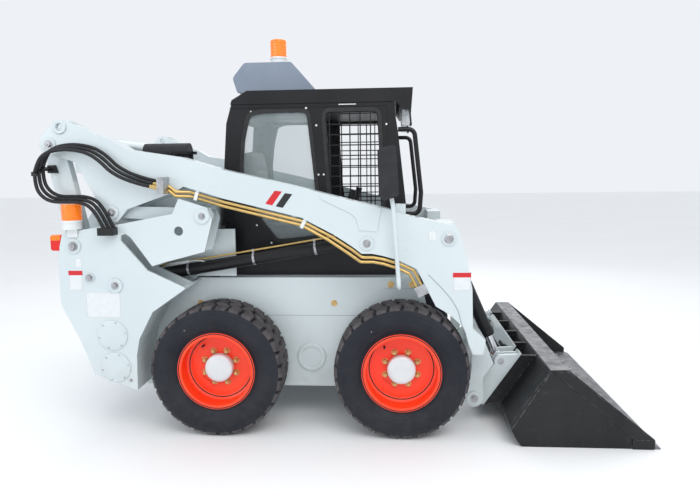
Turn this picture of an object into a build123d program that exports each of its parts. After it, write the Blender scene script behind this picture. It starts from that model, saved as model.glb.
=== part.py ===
from build123d import *
import os
from math import hypot, radians, tan

# Skid steer loader with a vertical-lift arm, standing on four wheels with its bucket flat on the ground.
# Millimetres. +X is forward, +Y is to the driver's left, +Z is up, and the ground is Z = 0.
# Side-view points are (x, z), with x measured forward from halfway between the axles.

os.makedirs("parts", exist_ok=True)

# ---------------------------------------------------------------- driving dimensions
wheelbase = 1065.0
tyre_r = 387.0
tyre_w = 264.0
tread_r = 374.0           # tyre's radius between its lugs
track_half = 698.0        # wheel's middle plane, from the machine's middle plane
bead_r = 211.0            # tyre's inner radius, on the rim's seat
front_reach = 1935.0      # cutting edge's tip, ahead of halfway between the axles
rear_reach = 1495.0       # arm's rear boss, behind halfway between the axles
mid_x = (rear_reach - front_reach) / 2

fit = 0.3                 # gap of pieces that seat on one another
pin_fit = 0.05            # radial clearance of a pin in its bore
side_gap = 8.0            # sideways room between pieces that swing past each other

# Side-view pivots
link_foot = (-1319.0, 1119.0)      # rear link on the frame
link_head = (-1435.0, 1691.0)      # rear link on the arm
control_foot = (-569.0, 1284.0)    # control link on the frame
control_head = (-1093.0, 1308.0)   # control link on the arm
lift_base = (-1088.0, 893.0)       # lift cylinder on the frame
lift_eye = (343.0, 1126.0)         # lift cylinder's rod on the arm
tilt_head = (790.0, 1150.0)        # tilt cylinder on the arm
tilt_eye = (1125.0, 388.0)         # tilt cylinder's rod on the quick attach
tool_pivot = (960.0, 186.0)        # quick attach on the arm

# Sideways places, as distances from the middle plane
upright_out = 830.0       # outer face of the upright's outer plate
upright_t = 16.0
arm_w = 116.0
arm_plate = 18.0
link_w = 54.0
arm_out = upright_out - upright_t - side_gap
arm_in = arm_out - arm_w
link_in = arm_in + arm_plate + 6.0            # both links' inner faces
mid_plate_out = arm_in - side_gap             # upright's middle plate
mid_plate_in = mid_plate_out - upright_t
lift_r = 36.0                                 # lift barrel's radius
lift_y = mid_plate_in - side_gap - lift_r
bay_out = lift_y - lift_r - side_gap          # engine bay's side plate
bay_t = 14.0
chassis_half = 545.0
cab_half = 450.0
cab_wall = 40.0
bucket_half = 870.0
pin_r = 25.0
tilt_y = 450.0
tilt_r = 38.0


def side(y):
    """Side-view plane at y: sketch x runs forward, sketch y runs up, and extrusions run to the right."""
    return Plane(origin=(mid_x, y, 0), x_dir=(1, 0, 0), z_dir=(0, -1, 0))


def across(x):
    """Front-view plane at x: sketch x runs to the left of the machine, sketch y runs up."""
    return Plane(origin=(mid_x + x, 0, 0), x_dir=(0, 1, 0), z_dir=(1, 0, 0))


def plan(z):
    """Plan-view plane at z: sketch x runs forward, sketch y runs to the left."""
    return Plane(origin=(mid_x, 0, z))


def on_wheel(x, y, outward):
    """Plane on a wheel's axis whose normal points out of the machine."""
    return Plane(origin=(mid_x + x, y, tyre_r), x_dir=(outward, 0, 0), z_dir=(0, outward, 0))


# ---------------------------------------------------------------- wheels
rim_edge_w = 113.0        # rim's half width over its flanges
rim_flange_r = 226.0
rim_wall = 8.0
disc_r = 179.0
disc_t = 12.0
disc_w = 2.0              # disc's middle, outward of the wheel's middle plane
hub_cap_r = 80.0
hub_cap_w = 54.0
hub_r = 128.0
hub_w = -34.0             # hub's inner face
stub_r = 40.0
stub_len = 50.0
axle_tube_r = 84.0
axle_flange_r = 150.0
axle_flange_t = 14.0
wheel_gap = 6.0           # between the turning hub and the axle housing
seat_w = 104.0            # tyre's half width at its beads
bead_high = 234.0         # top of the bead's flat side, clear of the rim's flange
lug_count = 24            # lugs in each of the tyre's two staggered rows
lug_low_half = 21.0       # lug's half width at its root, and at its top
lug_top_half = 16.0
lug_root_r = 352.0
lug_top_r = tyre_r
lug_start = 5.0           # from the tyre's middle plane outward
lug_len = 116.0
nut_count = 8
nut_ring_r = 101.5
nut_r = 14.0
nut_len = 20.0
valve_bulge = ((-44, 118), (44, 118), (0, 168))
valve_bulge_t = 5.0
valve_turn = 38.0         # bulge's place round the disc, from straight up

# name, x of the axle, outward direction
wheels = (
    ("front_right", wheelbase / 2, -1),
    ("front_left", wheelbase / 2, 1),
    ("rear_right", -wheelbase / 2, -1),
    ("rear_left", -wheelbase / 2, 1),
)

bore_floor = hub_w + stub_len + 2.0
for name, axle_x, outward in wheels:
    axis_plane = on_wheel(axle_x, outward * track_half, outward)
    section_plane = Plane(origin=axis_plane.origin, x_dir=(1, 0, 0), z_dir=(0, 0, 1))
    turn_axis = Axis(axis_plane.origin, (0, 1, 0))

    # Section of the tyre: radius out from the axle, width outward from the wheel's middle
    with BuildPart() as tyre:
        with BuildSketch(section_plane):
            with BuildLine():
                Polyline((bead_high, -seat_w), (bead_r, -seat_w), (bead_r, seat_w), (bead_high, seat_w))
                ThreePointArc((bead_high, seat_w), (295, tyre_w / 2), (368, 122))
                Line((368, 122), (tread_r, 108))
                Line((tread_r, 108), (tread_r, -108))
                Line((tread_r, -108), (368, -122))
                ThreePointArc((368, -122), (295, -tyre_w / 2), (bead_high, -seat_w))
            make_face()
        revolve(axis=turn_axis)
        for row, start_angle in ((1, 0), (-1, 180 / lug_count)):
            row_plane = on_wheel(axle_x, outward * track_half + row * lug_start, row)
            with BuildSketch(row_plane):
                with PolarLocations(0, lug_count, start_angle=row * outward * start_angle):
                    Polygon(
                        (lug_root_r, -lug_low_half),
                        (lug_top_r, -lug_top_half),
                        (lug_top_r, lug_top_half),
                        (lug_root_r, lug_low_half),
                        align=None,
                    )
            extrude(amount=lug_len)
    node = "tyre_" + name
    tyre.part.label = node
    export_step(tyre.part, "parts/" + node + ".step")

    seat_r = bead_r - fit
    with BuildPart() as rim:
        with BuildSketch(section_plane):
            with BuildLine():
                Polyline(
                    (seat_r, outward * -(seat_w + fit)),
                    (rim_flange_r, outward * -(seat_w + fit)),
                    (rim_flange_r, outward * -rim_edge_w),
                    (seat_r - rim_wall, outward * -rim_edge_w),
                    (seat_r - rim_wall, outward * (disc_w - disc_t / 2)),
                    (disc_r, outward * (disc_w - disc_t)),
                    (hub_r, outward * (disc_w - disc_t)),
                    (hub_r, outward * hub_w),
                    (stub_r + pin_fit, outward * hub_w),
                    (stub_r + pin_fit, outward * bore_floor),
                    (0, outward * bore_floor),
                    (0, outward * hub_cap_w),
                    (hub_cap_r, outward * hub_cap_w),
                    (hub_cap_r, outward * (disc_w + disc_t / 2)),
                    (disc_r, outward * (disc_w + disc_t / 2)),
                    (seat_r - rim_wall, outward * (disc_w + disc_t * 1.5)),
                    (seat_r - rim_wall, outward * rim_edge_w),
                    (rim_flange_r, outward * rim_edge_w),
                    (rim_flange_r, outward * (seat_w + fit)),
                    (seat_r, outward * (seat_w + fit)),
                    close=True,
                )
            make_face()
        revolve(axis=turn_axis)
        # Wheel nuts, and the pressed bulge beside the valve
        disc_face = on_wheel(axle_x, outward * (track_half + disc_w + disc_t / 2), outward)
        with BuildSketch(disc_face):
            with PolarLocations(nut_ring_r, nut_count, start_angle=180 / nut_count):
                RegularPolygon(nut_r, 6)
        extrude(amount=nut_len)
        with BuildSketch(disc_face):
            with PolarLocations(0, 1, start_angle=outward * valve_turn):
                Polygon(*valve_bulge, align=None)
        extrude(amount=valve_bulge_t)
    node = "rim_" + name
    rim.part.label = node
    export_step(rim.part, "parts/" + node + ".step")

housing_len = track_half + hub_w - wheel_gap - chassis_half
with BuildPart() as axle_housings:
    for name, axle_x, outward in wheels:
        root = on_wheel(axle_x, outward * chassis_half, outward)
        for radius, start, length in (
            (axle_flange_r, 0, axle_flange_t),
            (axle_tube_r, 0, housing_len),
            (stub_r, housing_len, wheel_gap + stub_len),
        ):
            with BuildSketch(root.offset(start)):
                Circle(radius)
            extrude(amount=length)
axle_housings.part.label = "axle_housings"
export_step(axle_housings.part, "parts/axle_housings.step")

# ---------------------------------------------------------------- chassis
chassis_front = 700.0
chassis_rear = -1110.0
belly_z = 214.0
rail_top = 657.0
rail_w = 130.0
chassis_top = 890.0
sheet = 16.0
tank_in = cab_half - cab_wall - 6.0
step_z = 520.0            # cab floor and step at the front
case_cover_r = 87.0
cover_t = 6.0

with BuildPart() as chassis:
    # Right chain-case rail and the side sheet above it, then the left ones
    with BuildSketch(side(-(chassis_half - rail_w))):
        Polygon(
            (chassis_rear, belly_z + 100),
            (chassis_rear + 60, belly_z),
            (chassis_front - 60, belly_z),
            (chassis_front, belly_z + 100),
            (chassis_front, rail_top),
            (chassis_rear, rail_top),
            align=None,
        )
    extrude(amount=rail_w)
    with BuildSketch(side(-(chassis_half - sheet))):
        Polygon(
            (chassis_rear, rail_top),
            (chassis_front, rail_top),
            (chassis_front - 57, chassis_top),
            (chassis_rear, chassis_top),
            align=None,
        )
    extrude(amount=sheet)
    # Side tank, which carries the cab's wall
    with BuildSketch(side(-tank_in)):
        Polygon(
            (-576, rail_top - 1),
            (chassis_front, rail_top - 1),
            (chassis_front - 57, chassis_top),
            (-576, chassis_top),
            align=None,
        )
    extrude(amount=chassis_half - tank_in)
    # Round cover of the chain case
    with BuildSketch(side(-(chassis_half - 1))):
        with Locations((-12, 399)):
            Circle(case_cover_r)
    extrude(amount=cover_t + 1)
    mirror(about=Plane.XZ)
    # Belly, cab floor, front sheet, firewall and rear sill, all between the two rails
    inner_half = chassis_half - rail_w
    for x_low, x_high, z_low, z_high in (
        (chassis_rear + 60, chassis_front - 60, belly_z, belly_z + sheet),
        (-560, chassis_front, step_z, step_z + sheet),
        (-576, -560, belly_z + sheet, chassis_top),
        (chassis_front - sheet - 60, chassis_front - 60, belly_z + sheet, step_z),
        (chassis_rear, chassis_rear + sheet, belly_z + 100, rail_top),
    ):
        with BuildSketch(side(inner_half)):
            Polygon((x_low, z_low), (x_high, z_low), (x_high, z_high), (x_low, z_high), align=None)
        extrude(amount=2 * inner_half)
chassis.part.label = "chassis"
export_step(chassis.part, "parts/chassis.step")

# ---------------------------------------------------------------- uprights
outer_outline = (
    (-1383, 1189), (-1331, 1201), (-1126, 1234), (-1064, 1238), (-739, 1298), (-700, 1382),
    (-540, 1330), (-513, 1266), (-563, 1084), (-803, 1023), (-868, 1003), (-985, 1168),
    (-1012, 1188), (-1040, 1178), (-1043, 1150), (-898, 979), (-697, 886), (-688, 880),
    (-886, 744), (-973, 582), (-993, 485), (-999, 279), (-1114, 321), (-1231, 368),
    (-1309, 579), (-1404, 776), (-1409, 825), (-1403, 1114),
)
middle_outline = (
    (-1383, 1189), (-1331, 1201), (-1126, 1234), (-1064, 1300), (-777, 1395), (-540, 1330),
    (-513, 1266), (-563, 1084), (-803, 1023), (-900, 979), (-697, 886), (-688, 880),
    (-886, 744), (-973, 582), (-993, 485), (-999, 279), (-1114, 321), (-1231, 368),
    (-1309, 579), (-1404, 776), (-1409, 825), (-1403, 1114),
)
bay_outline = (
    (-1383, 1189), (-455, 1189), (-455, 905), (-690, 905), (-886, 744), (-973, 582),
    (-993, 485), (-999, 279), (-1114, 321), (-1231, 368), (-1309, 579), (-1404, 776),
    (-1409, 825), (-1403, 1114),
)
rear_edge = ((-1231, 368), (-1309, 579), (-1404, 776), (-1409, 825), (-1403.6, 1085))
arch_edge = ((-688, 880), (-886, 744), (-973, 582), (-993, 485), (-999, 279))
tie_hole = (-707.0, 1201.0)
tie_hole_r = 26.0
boss_r = 42.0
round_covers = ((-1122.0, 603.0), (-1114.0, 413.0))
round_cover_r = 88.0
fill_boss = (-1235.0, 938.0)
fill_boss_r = 28.0
boss_t = 8.0

with BuildPart() as upright_right:
    for outline, y_in, thickness in (
        (outer_outline, upright_out - upright_t, upright_t),
        (middle_outline, mid_plate_in, upright_t),
        (bay_outline, bay_out - bay_t, bay_t),
    ):
        with BuildSketch(side(-y_in)):
            Polygon(*outline, align=None)
        extrude(amount=thickness)
    # Closing sheets along the rear edge and over the wheel
    for edge, y_in in ((rear_edge, bay_out - bay_t), (arch_edge, chassis_half)):
        with BuildSketch(side(-y_in)):
            with BuildLine():
                Polyline(*edge)
            trace(line_width=upright_t)
        extrude(amount=upright_out - y_in)
    # Pins of the two links and of the lift cylinder
    for (x, z), y_in in (
        (link_foot, mid_plate_in),
        (control_foot, mid_plate_in),
        (lift_base, bay_out - bay_t),
    ):
        with BuildSketch(side(-y_in)):
            with Locations((x, z)):
                Circle(pin_r)
        extrude(amount=upright_out + boss_t - y_in)
        with BuildSketch(side(-upright_out)):
            with Locations((x, z)):
                Circle(boss_r)
        extrude(amount=boss_t)
    # Round covers and the filler's boss on the outer plate
    with BuildSketch(side(-(upright_out - 1))):
        with Locations(*round_covers):
            Circle(round_cover_r)
    extrude(amount=cover_t + 1)
    with BuildSketch(side(-(upright_out - 1))):
        with Locations(fill_boss):
            Circle(fill_boss_r)
    extrude(amount=boss_t + 1)
    with BuildSketch(side(-(upright_out - upright_t))):
        with Locations(tie_hole):
            Circle(tie_hole_r)
    extrude(amount=upright_t, mode=Mode.SUBTRACT)
upright_right.part.label = "upright_right"
export_step(upright_right.part, "parts/upright_right.step")

with BuildPart() as upright_left:
    mirror(upright_right.part, about=Plane.XZ)
upright_left.part.label = "upright_left"
export_step(upright_left.part, "parts/upright_left.step")

# ---------------------------------------------------------------- engine bay
bay_in = bay_out - bay_t - fit
deck_front = -590.0
deck_rear = -1010.0
deck_top_front = 1520.0
deck_top_rear = 1450.0
deck_low = 1189.0
deck_wall = 14.0
hood_rear = -1380.0
hood_pin = (deck_rear - 3.0, deck_top_rear + 16.0)
hood_pin_r = 8.0
hood_knuckle_r = 14.0
hinge_y = (-450.0, 450.0)       # middles of the two hinges
hood_knuckle_w = 40.0
deck_lug_w = 20.0
lug_gap = 4.0

with BuildPart() as engine:
    with BuildSketch(plan(belly_z + sheet + fit)):
        with Locations((-840, 0)):
            Rectangle(480, 520)
    extrude(amount=620)
engine.part.label = "engine"
export_step(engine.part, "parts/engine.step")

# The fixed deck: a folded cover over the front of the bay, open below
with BuildPart() as engine_deck:
    with BuildSketch(side(bay_in)):
        Polygon(
            (deck_rear, deck_low), (deck_front, deck_low),
            (deck_front, deck_top_front), (deck_rear, deck_top_rear),
            align=None,
        )
    extrude(amount=2 * bay_in)
    with BuildSketch(side(bay_in - deck_wall)):
        Polygon(
            (deck_rear - 1, deck_low - 1), (deck_front - deck_wall, deck_low - 1),
            (deck_front - deck_wall, deck_top_front - deck_wall), (deck_rear - 1, deck_top_rear - deck_wall),
            align=None,
        )
    extrude(amount=2 * (bay_in - deck_wall), mode=Mode.SUBTRACT)
    # Two lugs and a pin for each of the hood's hinges
    for y in hinge_y:
        for y_high in (y + hood_knuckle_w / 2 + lug_gap + deck_lug_w, y - hood_knuckle_w / 2 - lug_gap):
            with BuildSketch(side(y_high)):
                with Locations(hood_pin):
                    Circle(hood_knuckle_r)
                Polygon(
                    (hood_pin[0], hood_pin[1] + hood_knuckle_r), (deck_rear + 50, deck_top_rear + 15),
                    (deck_rear + 50, deck_top_rear - 5), (deck_rear, deck_top_rear - 5),
                    (deck_rear, deck_top_rear + 5),
                    align=None,
                )
            extrude(amount=deck_lug_w)
        with BuildSketch(side(y + hood_knuckle_w / 2 + lug_gap + 1)):
            with Locations(hood_pin):
                Circle(hood_pin_r)
        extrude(amount=hood_knuckle_w + 2 * lug_gap + 2)
engine_deck.part.label = "engine_deck"
export_step(engine_deck.part, "parts/engine_deck.step")

# The hinged hood behind it
hood_gap = 6.0
hood_front = deck_rear - hood_gap
hood_half = bay_in - hood_gap
hood_low = deck_low + hood_gap
with BuildPart() as hood:
    with BuildSketch(side(hood_half)):
        Polygon(
            (hood_front, hood_low), (hood_front, deck_top_rear), (-1150, 1415),
            (-1310, 1330), (hood_rear, 1240), (hood_rear, hood_low),
            align=None,
        )
    extrude(amount=2 * hood_half)
    with BuildSketch(side(hood_half - deck_wall)):
        Polygon(
            (hood_front + 1, hood_low - 1), (hood_front + 1, deck_top_rear - deck_wall),
            (-1150, 1415 - deck_wall),
            (-1302, 1318), (hood_rear + deck_wall, 1234), (hood_rear + deck_wall, hood_low - 1),
            align=None,
        )
    extrude(amount=2 * (hood_half - deck_wall), mode=Mode.SUBTRACT)
    for y in hinge_y:
        with BuildSketch(side(y + hood_knuckle_w / 2)):
            with Locations(hood_pin):
                Circle(hood_knuckle_r)
            Polygon(
                (hood_pin[0], hood_pin[1] + hood_knuckle_r), (hood_front - 50, deck_top_rear - 4),
                (hood_front - 50, deck_top_rear - 20), (hood_front, deck_top_rear - 8),
                (hood_front, deck_top_rear + 6),
                align=None,
            )
            with Locations(hood_pin):
                Circle(hood_pin_r + pin_fit, mode=Mode.SUBTRACT)
        extrude(amount=hood_knuckle_w)
hood.part.label = "hood"
export_step(hood.part, "parts/hood.step")

# Rear guard: folded plate below the rear door, between the two uprights
guard_half = bay_in
with BuildPart() as rear_guard:
    with BuildSketch(side(guard_half)):
        with BuildLine():
            Polyline((-1404, 776), (-1309, 579), (-1231, 368), (-1118, 323))
        trace(line_width=upright_t)
    extrude(amount=2 * guard_half)
rear_guard.part.label = "rear_guard"
export_step(rear_guard.part, "parts/rear_guard.step")

# Rear door, hung on its left edge
door_out = -1446.0
door_t = 26.0
door_half = 566.0
door_low = 800.0
door_high = 1180.0
door_pin_r = 9.0
knuckle_r = 16.0
door_pin = (door_out - 4.0, door_half + knuckle_r + 3.0)
knuckle_low = door_low + 70
knuckle_high = door_high - 130
lug_h = 30.0
with BuildPart() as tailgate:
    with BuildSketch(across(door_out)):
        with Locations((0, (door_low + door_high) / 2)):
            RectangleRounded(2 * door_half, door_high - door_low, 40)
        with Locations((0, (door_low + door_high) / 2)):
            with GridLocations(0, 46, 1, 6):
                SlotOverall(620, 20, mode=Mode.SUBTRACT)
    extrude(amount=door_t)
    with BuildSketch(plan(knuckle_low)):
        with Locations(door_pin):
            Circle(knuckle_r)
        Polygon(
            (door_pin[0] - 8, door_pin[1] - 8), (door_pin[0] - 8, door_half - 30),
            (door_out + 1, door_half - 30), (door_out + 1, door_pin[1] - 8),
            align=None,
        )
    extrude(amount=knuckle_high - knuckle_low)
    with BuildSketch(plan(knuckle_low)):
        with Locations(door_pin):
            Circle(door_pin_r + pin_fit)
    extrude(amount=knuckle_high - knuckle_low, mode=Mode.SUBTRACT)
tailgate.part.label = "tailgate"
export_step(tailgate.part, "parts/tailgate.step")

# The door's hinge: a pin between two lugs on the left upright's rear sheet
sheet_rear = -1409 - upright_t / 2
with BuildPart() as door_hinge:
    with BuildSketch(plan(knuckle_low - lug_h)):
        with Locations(door_pin):
            Circle(door_pin_r)
    extrude(amount=knuckle_high - knuckle_low + 2 * lug_h)
    for z in (knuckle_low - lug_h - fit, knuckle_high + fit):
        with BuildSketch(plan(z)):
            with Locations(door_pin):
                Circle(knuckle_r)
            Polygon(
                (door_pin[0] - knuckle_r, door_pin[1]), (sheet_rear - fit, door_pin[1] - knuckle_r + 1),
                (sheet_rear - fit, door_pin[1] + 50), (door_pin[0] - 8, door_pin[1] + 20),
                align=None,
            )
        extrude(amount=lug_h)
door_hinge.part.label = "door_hinge"
export_step(door_hinge.part, "parts/door_hinge.step")

# Air cleaner on its saddle, and the exhaust stack, both on the deck
def deck_top(x):
    """Height of the deck's top face at x."""
    return deck_top_rear + (x - deck_rear) * (deck_top_front - deck_top_rear) / (deck_front - deck_rear)


cleaner_r = 62.0
cleaner_z = 1655.0
cleaner_y = -250.0
with BuildPart() as air_cleaner:
    with BuildSketch(across(-1110)):
        with Locations((cleaner_y, cleaner_z)):
            Circle(cleaner_r)
    extrude(amount=290)
    with BuildSketch(across(-985)):
        with Locations((cleaner_y, cleaner_z - 90)):
            Rectangle(90, 130)
    extrude(amount=80)
    with BuildSketch(side(cleaner_y + 60)):
        Polygon(
            (-1006, 1520), (-886, 1520), (-886, deck_top(-886) + fit), (-1006, deck_top(-1006) + fit),
            align=None,
        )
    extrude(amount=120)
air_cleaner.part.label = "air_cleaner"
export_step(air_cleaner.part, "parts/air_cleaner.step")

stack_x = -813.0
stack_y = -400.0
stack_r = 62.0
cap_r = 85.0
stack_top = 1656.0
stack_foot = deck_top(stack_x + 90) + fit
with BuildPart() as exhaust_stack:
    for radius, low, high in (
        (90.0, stack_foot, stack_foot + 8),
        (stack_r, stack_foot, stack_top - 8),
        (cap_r, stack_top - 16, stack_top),
    ):
        with BuildSketch(plan(low)):
            with Locations((stack_x, stack_y)):
                Circle(radius)
        extrude(amount=high - low)
    with BuildSketch(plan(stack_top - 60)):
        with Locations((stack_x, stack_y)):
            Circle(stack_r - 8)
    extrude(amount=60, mode=Mode.SUBTRACT)
exhaust_stack.part.label = "exhaust_stack"
export_step(exhaust_stack.part, "parts/exhaust_stack.step")

# ---------------------------------------------------------------- cab
cab_in = cab_half - cab_wall
cab_low = chassis_top + fit
cab_high = 1930.0
cab_ceiling = cab_high - cab_wall
post_w = 80.0             # front posts, seen from the front
cab_outline = (
    (-555, cab_low), (525, cab_low), (567, 1316), (520, 1746), (492, cab_high),
    (-486, cab_high), (-520, 1818), (-543, 1543),
)
rear_window = (
    (-380, 1868), (-310, 1885), (-20, 1885), (14, 1543), (48, 1130),
    (-226, 1101), (-331, 1241), (-412, 1400), (-433, 1543), (-415, 1720),
)
front_window = ((75, 1885), (405, 1885), (425, 1500), (440, 1190), (135, 1160), (100, 1420))
back_light = (520.0, 330.0)       # rear window, width and height
back_light_z = 1680.0
bar_pivot = (-420.0, 1440.0)      # lap bar's pivot
bar_pin_r = 12.0
bar_half = 355.0

with BuildPart() as cab_shell:
    with BuildSketch(side(cab_half)):
        Polygon(*cab_outline, align=None)
    extrude(amount=2 * cab_half)
    with BuildSketch(side(cab_in)):
        Polygon(
            (-515, cab_low - 1), (455, cab_low - 1), (455, cab_ceiling), (-450, cab_ceiling),
            (-478, 1815), (-503, 1543),
            align=None,
        )
    extrude(amount=2 * cab_in, mode=Mode.SUBTRACT)
    with BuildSketch(across(440)):
        with Locations((0, (cab_low - 1 + cab_ceiling) / 2)):
            Rectangle(2 * (cab_half - post_w), cab_ceiling - cab_low + 1)
    extrude(amount=200, mode=Mode.SUBTRACT)
    for window, corner in ((rear_window, 30), (front_window, 45)):
        with BuildSketch(side(cab_half)) as opening:
            Polygon(*window, align=None)
            fillet(opening.vertices(), corner)
        extrude(amount=2 * cab_half, mode=Mode.SUBTRACT)
    with BuildSketch(across(-600)):
        with Locations((0, back_light_z)):
            RectangleRounded(*back_light, 40)
    extrude(amount=200, mode=Mode.SUBTRACT)
    for outward in (-1, 1):
        with BuildSketch(side(max(outward * (bar_half - 8), outward * cab_in))):
            with Locations(bar_pivot):
                Circle(bar_pin_r)
        extrude(amount=cab_in - bar_half + 8)
cab_shell.part.label = "cab_shell"
export_step(cab_shell.part, "parts/cab_shell.step")

glass_t = 6.0
pane_in = cab_half - 14.0
with BuildPart() as side_glass:
    with BuildSketch(side(-pane_in)) as pane:
        Polygon(*rear_window, align=None)
        fillet(pane.vertices(), 30)
        offset(amount=-fit, mode=Mode.REPLACE)
    extrude(amount=glass_t)
    mirror(about=Plane.XZ)
side_glass.part.label = "side_glass"
export_step(side_glass.part, "parts/side_glass.step")

with BuildPart() as rear_glass:
    with BuildSketch(across(-524)):
        with Locations((0, back_light_z)):
            RectangleRounded(back_light[0] - 2 * fit, back_light[1] - 2 * fit, 40)
    extrude(amount=glass_t)
rear_glass.part.label = "rear_glass"
export_step(rear_glass.part, "parts/rear_glass.step")

# Welded mesh in the front side windows
mesh_pitch = 62.0
mesh_wire = 7.0
with BuildPart() as window_mesh:
    with BuildSketch(side(-pane_in)) as frame_face:
        Polygon(*front_window, align=None)
        fillet(frame_face.vertices(), 45)
        offset(amount=-fit, mode=Mode.REPLACE)
    extrude(amount=mesh_wire)
    with BuildSketch(side(-pane_in)) as holes:
        with Locations((262, 1525)):
            with GridLocations(mesh_pitch, mesh_pitch, 7, 13):
                Rectangle(mesh_pitch - mesh_wire, mesh_pitch - mesh_wire)
        with BuildSketch(mode=Mode.INTERSECT) as inner:
            Polygon(*front_window, align=None)
            fillet(inner.vertices(), 45)
            offset(amount=-12, mode=Mode.REPLACE)
    extrude(amount=mesh_wire, mode=Mode.SUBTRACT)
    mirror(about=Plane.XZ)
window_mesh.part.label = "window_mesh"
export_step(window_mesh.part, "parts/window_mesh.step")

# Roof with its visor
roof_top = 2010.0
with BuildPart() as roof:
    with BuildSketch(side(cab_half + 6)):
        Polygon(
            (-490, cab_high + fit), (-481, 1956), (-387, roof_top), (607, roof_top), (597, 1878),
            (534, 1893), (510, cab_high + fit),
            align=None,
        )
    extrude(amount=2 * (cab_half + 6))
roof.part.label = "roof"
export_step(roof.part, "parts/roof.step")

hump_half = 255.0
hump_top = 2210.0
with BuildPart() as roof_unit:
    with BuildSketch(side(hump_half)) as hump:
        Polygon(
            (-385, roof_top + fit), (-496, 2030), (-523, 2118), (-446, hump_top), (-148, hump_top),
            (-7, 2049), (25, roof_top + fit),
            align=None,
        )
        fillet(hump.vertices().filter_by(lambda v: v.Y > 2100), 30)
    extrude(amount=2 * hump_half)
roof_unit.part.label = "roof_unit"
export_step(roof_unit.part, "parts/roof_unit.step")

# ---------------------------------------------------------------- lamps, mirrors and handles
beacon_r = 54.0
beacon_y = 828.0
# x, y, top of what carries it, base's top, lens's top
beacons = (
    (-271.0, 0.0, hump_top, 2279.0, 2397.0),
    (-1319.0, -beacon_y, 1216.0, 1262.0, 1358.0),
    (-1319.0, beacon_y, 1216.0, 1262.0, 1358.0),
)
with BuildPart() as beacon_lenses:
    for x, y, seat, base_top, lens_top in beacons:
        with BuildSketch(plan(base_top + fit)):
            with Locations((x, y)):
                Circle(beacon_r)
        extrude(amount=lens_top - base_top - fit)
    fillet(beacon_lenses.faces().filter_by(Axis.Z).group_by(Axis.Z)[-1].edges(), 10)
beacon_lenses.part.label = "beacon_lenses"
export_step(beacon_lenses.part, "parts/beacon_lenses.step")

with BuildPart() as beacon_bases:
    for x, y, seat, base_top, lens_top in beacons:
        with BuildSketch(plan(seat + fit)):
            with Locations((x, y)):
                Circle(beacon_r)
        extrude(amount=base_top - seat - fit)
    # Foot of each rear beacon, on the outer plate's outside
    for outward in (-1, 1):
        with BuildSketch(side(max(outward * (upright_out + fit), outward * (upright_out + 8)))):
            with Locations((-1319, 1200)):
                Rectangle(60, 60)
        extrude(amount=8 - fit)
beacon_bases.part.label = "beacon_bases"
export_step(beacon_bases.part, "parts/beacon_bases.step")

with BuildPart() as tail_lamps:
    with BuildSketch(side(-(link_in + link_w + side_gap))) as lamp:
        Polygon(
            (-1454, 1093), (-1403.9, 1093), (-1403.4, 1114), (-1385.5, 1181), (-1454, 1181),
            align=None,
        )
        fillet(lamp.vertices().group_by(Axis.X)[0], 14)
    extrude(amount=upright_out - link_in - link_w - side_gap)
    mirror(about=Plane.XZ)
tail_lamps.part.label = "tail_lamps"
export_step(tail_lamps.part, "parts/tail_lamps.step")

mirror_in = arm_out + 16.0
with BuildPart() as mirror_heads:
    with BuildSketch(side(-mirror_in)) as head:
        Polygon((411, 1640), (505, 1658), (521, 1390), (440, 1364), (418, 1380), align=None)
        fillet(head.vertices(), 18)
    extrude(amount=86)
    mirror(about=Plane.XZ)
mirror_heads.part.label = "mirror_heads"
export_step(mirror_heads.part, "parts/mirror_heads.step")

pole_r = 12.0
pole_y = mirror_in + 32.0
foot_t = 8.0
pole_root = -chassis_half - fit - foot_t / 2
with BuildPart() as mirror_poles:
    with BuildLine(Plane.XY):
        FilletPolyline(
            (mid_x + 521, pole_root, 850),
            (mid_x + 519, -pole_y, 886),
            (mid_x + 488, -pole_y, 1330),
            (mid_x + 480, -pole_y, 1374.8),
            radius=(30, 60),
        )
    with BuildSketch(Plane(origin=(mid_x + 521, pole_root, 850), z_dir=(0, -1, 0.12))):
        Circle(pole_r)
    sweep()
    with BuildSketch(side(-chassis_half - fit)):
        with Locations((537, 850)):
            Rectangle(208, 50)
    extrude(amount=foot_t)
    mirror(about=Plane.XZ)
mirror_poles.part.label = "mirror_poles"
export_step(mirror_poles.part, "parts/mirror_poles.step")

# Grab handle on each front post
handle_r = 14.0
handle_y = cab_half - 30.0
with BuildPart() as grab_handles:
    with BuildLine(Plane.XY):
        FilletPolyline(
            (mid_x + 519, -handle_y, 1769),
            (mid_x + 616, -handle_y, 1769),
            (mid_x + 657, -handle_y, 1390),
            (mid_x + 648, -handle_y, 1262),
            (mid_x + 563.5, -handle_y, 1262),
            radius=(40, 60, 40),
        )
    with BuildSketch(Plane(origin=(mid_x + 519, -handle_y, 1769), z_dir=(1, 0, 0))):
        Circle(handle_r)
    sweep()
    mirror(about=Plane.XZ)
grab_handles.part.label = "grab_handles"
export_step(grab_handles.part, "parts/grab_handles.step")

with BuildPart() as work_lamps:
    with BuildSketch(side(-270)) as lamp:
        Polygon((545, 1890.1), (592, 1878.9), (600, 1800), (545, 1806), align=None)
    extrude(amount=110)
    mirror(about=Plane.XZ)
work_lamps.part.label = "work_lamps"
export_step(work_lamps.part, "parts/work_lamps.step")

# ---------------------------------------------------------------- driver's place
floor_top = step_z + sheet + fit
seat_top = 1080.0
with BuildPart() as seat_base:
    with BuildSketch(side(225)):
        Polygon((-470, floor_top), (-60, floor_top), (-20, seat_top), (-470, seat_top), align=None)
    extrude(amount=450)
seat_base.part.label = "seat_base"
export_step(seat_base.part, "parts/seat_base.step")

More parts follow.
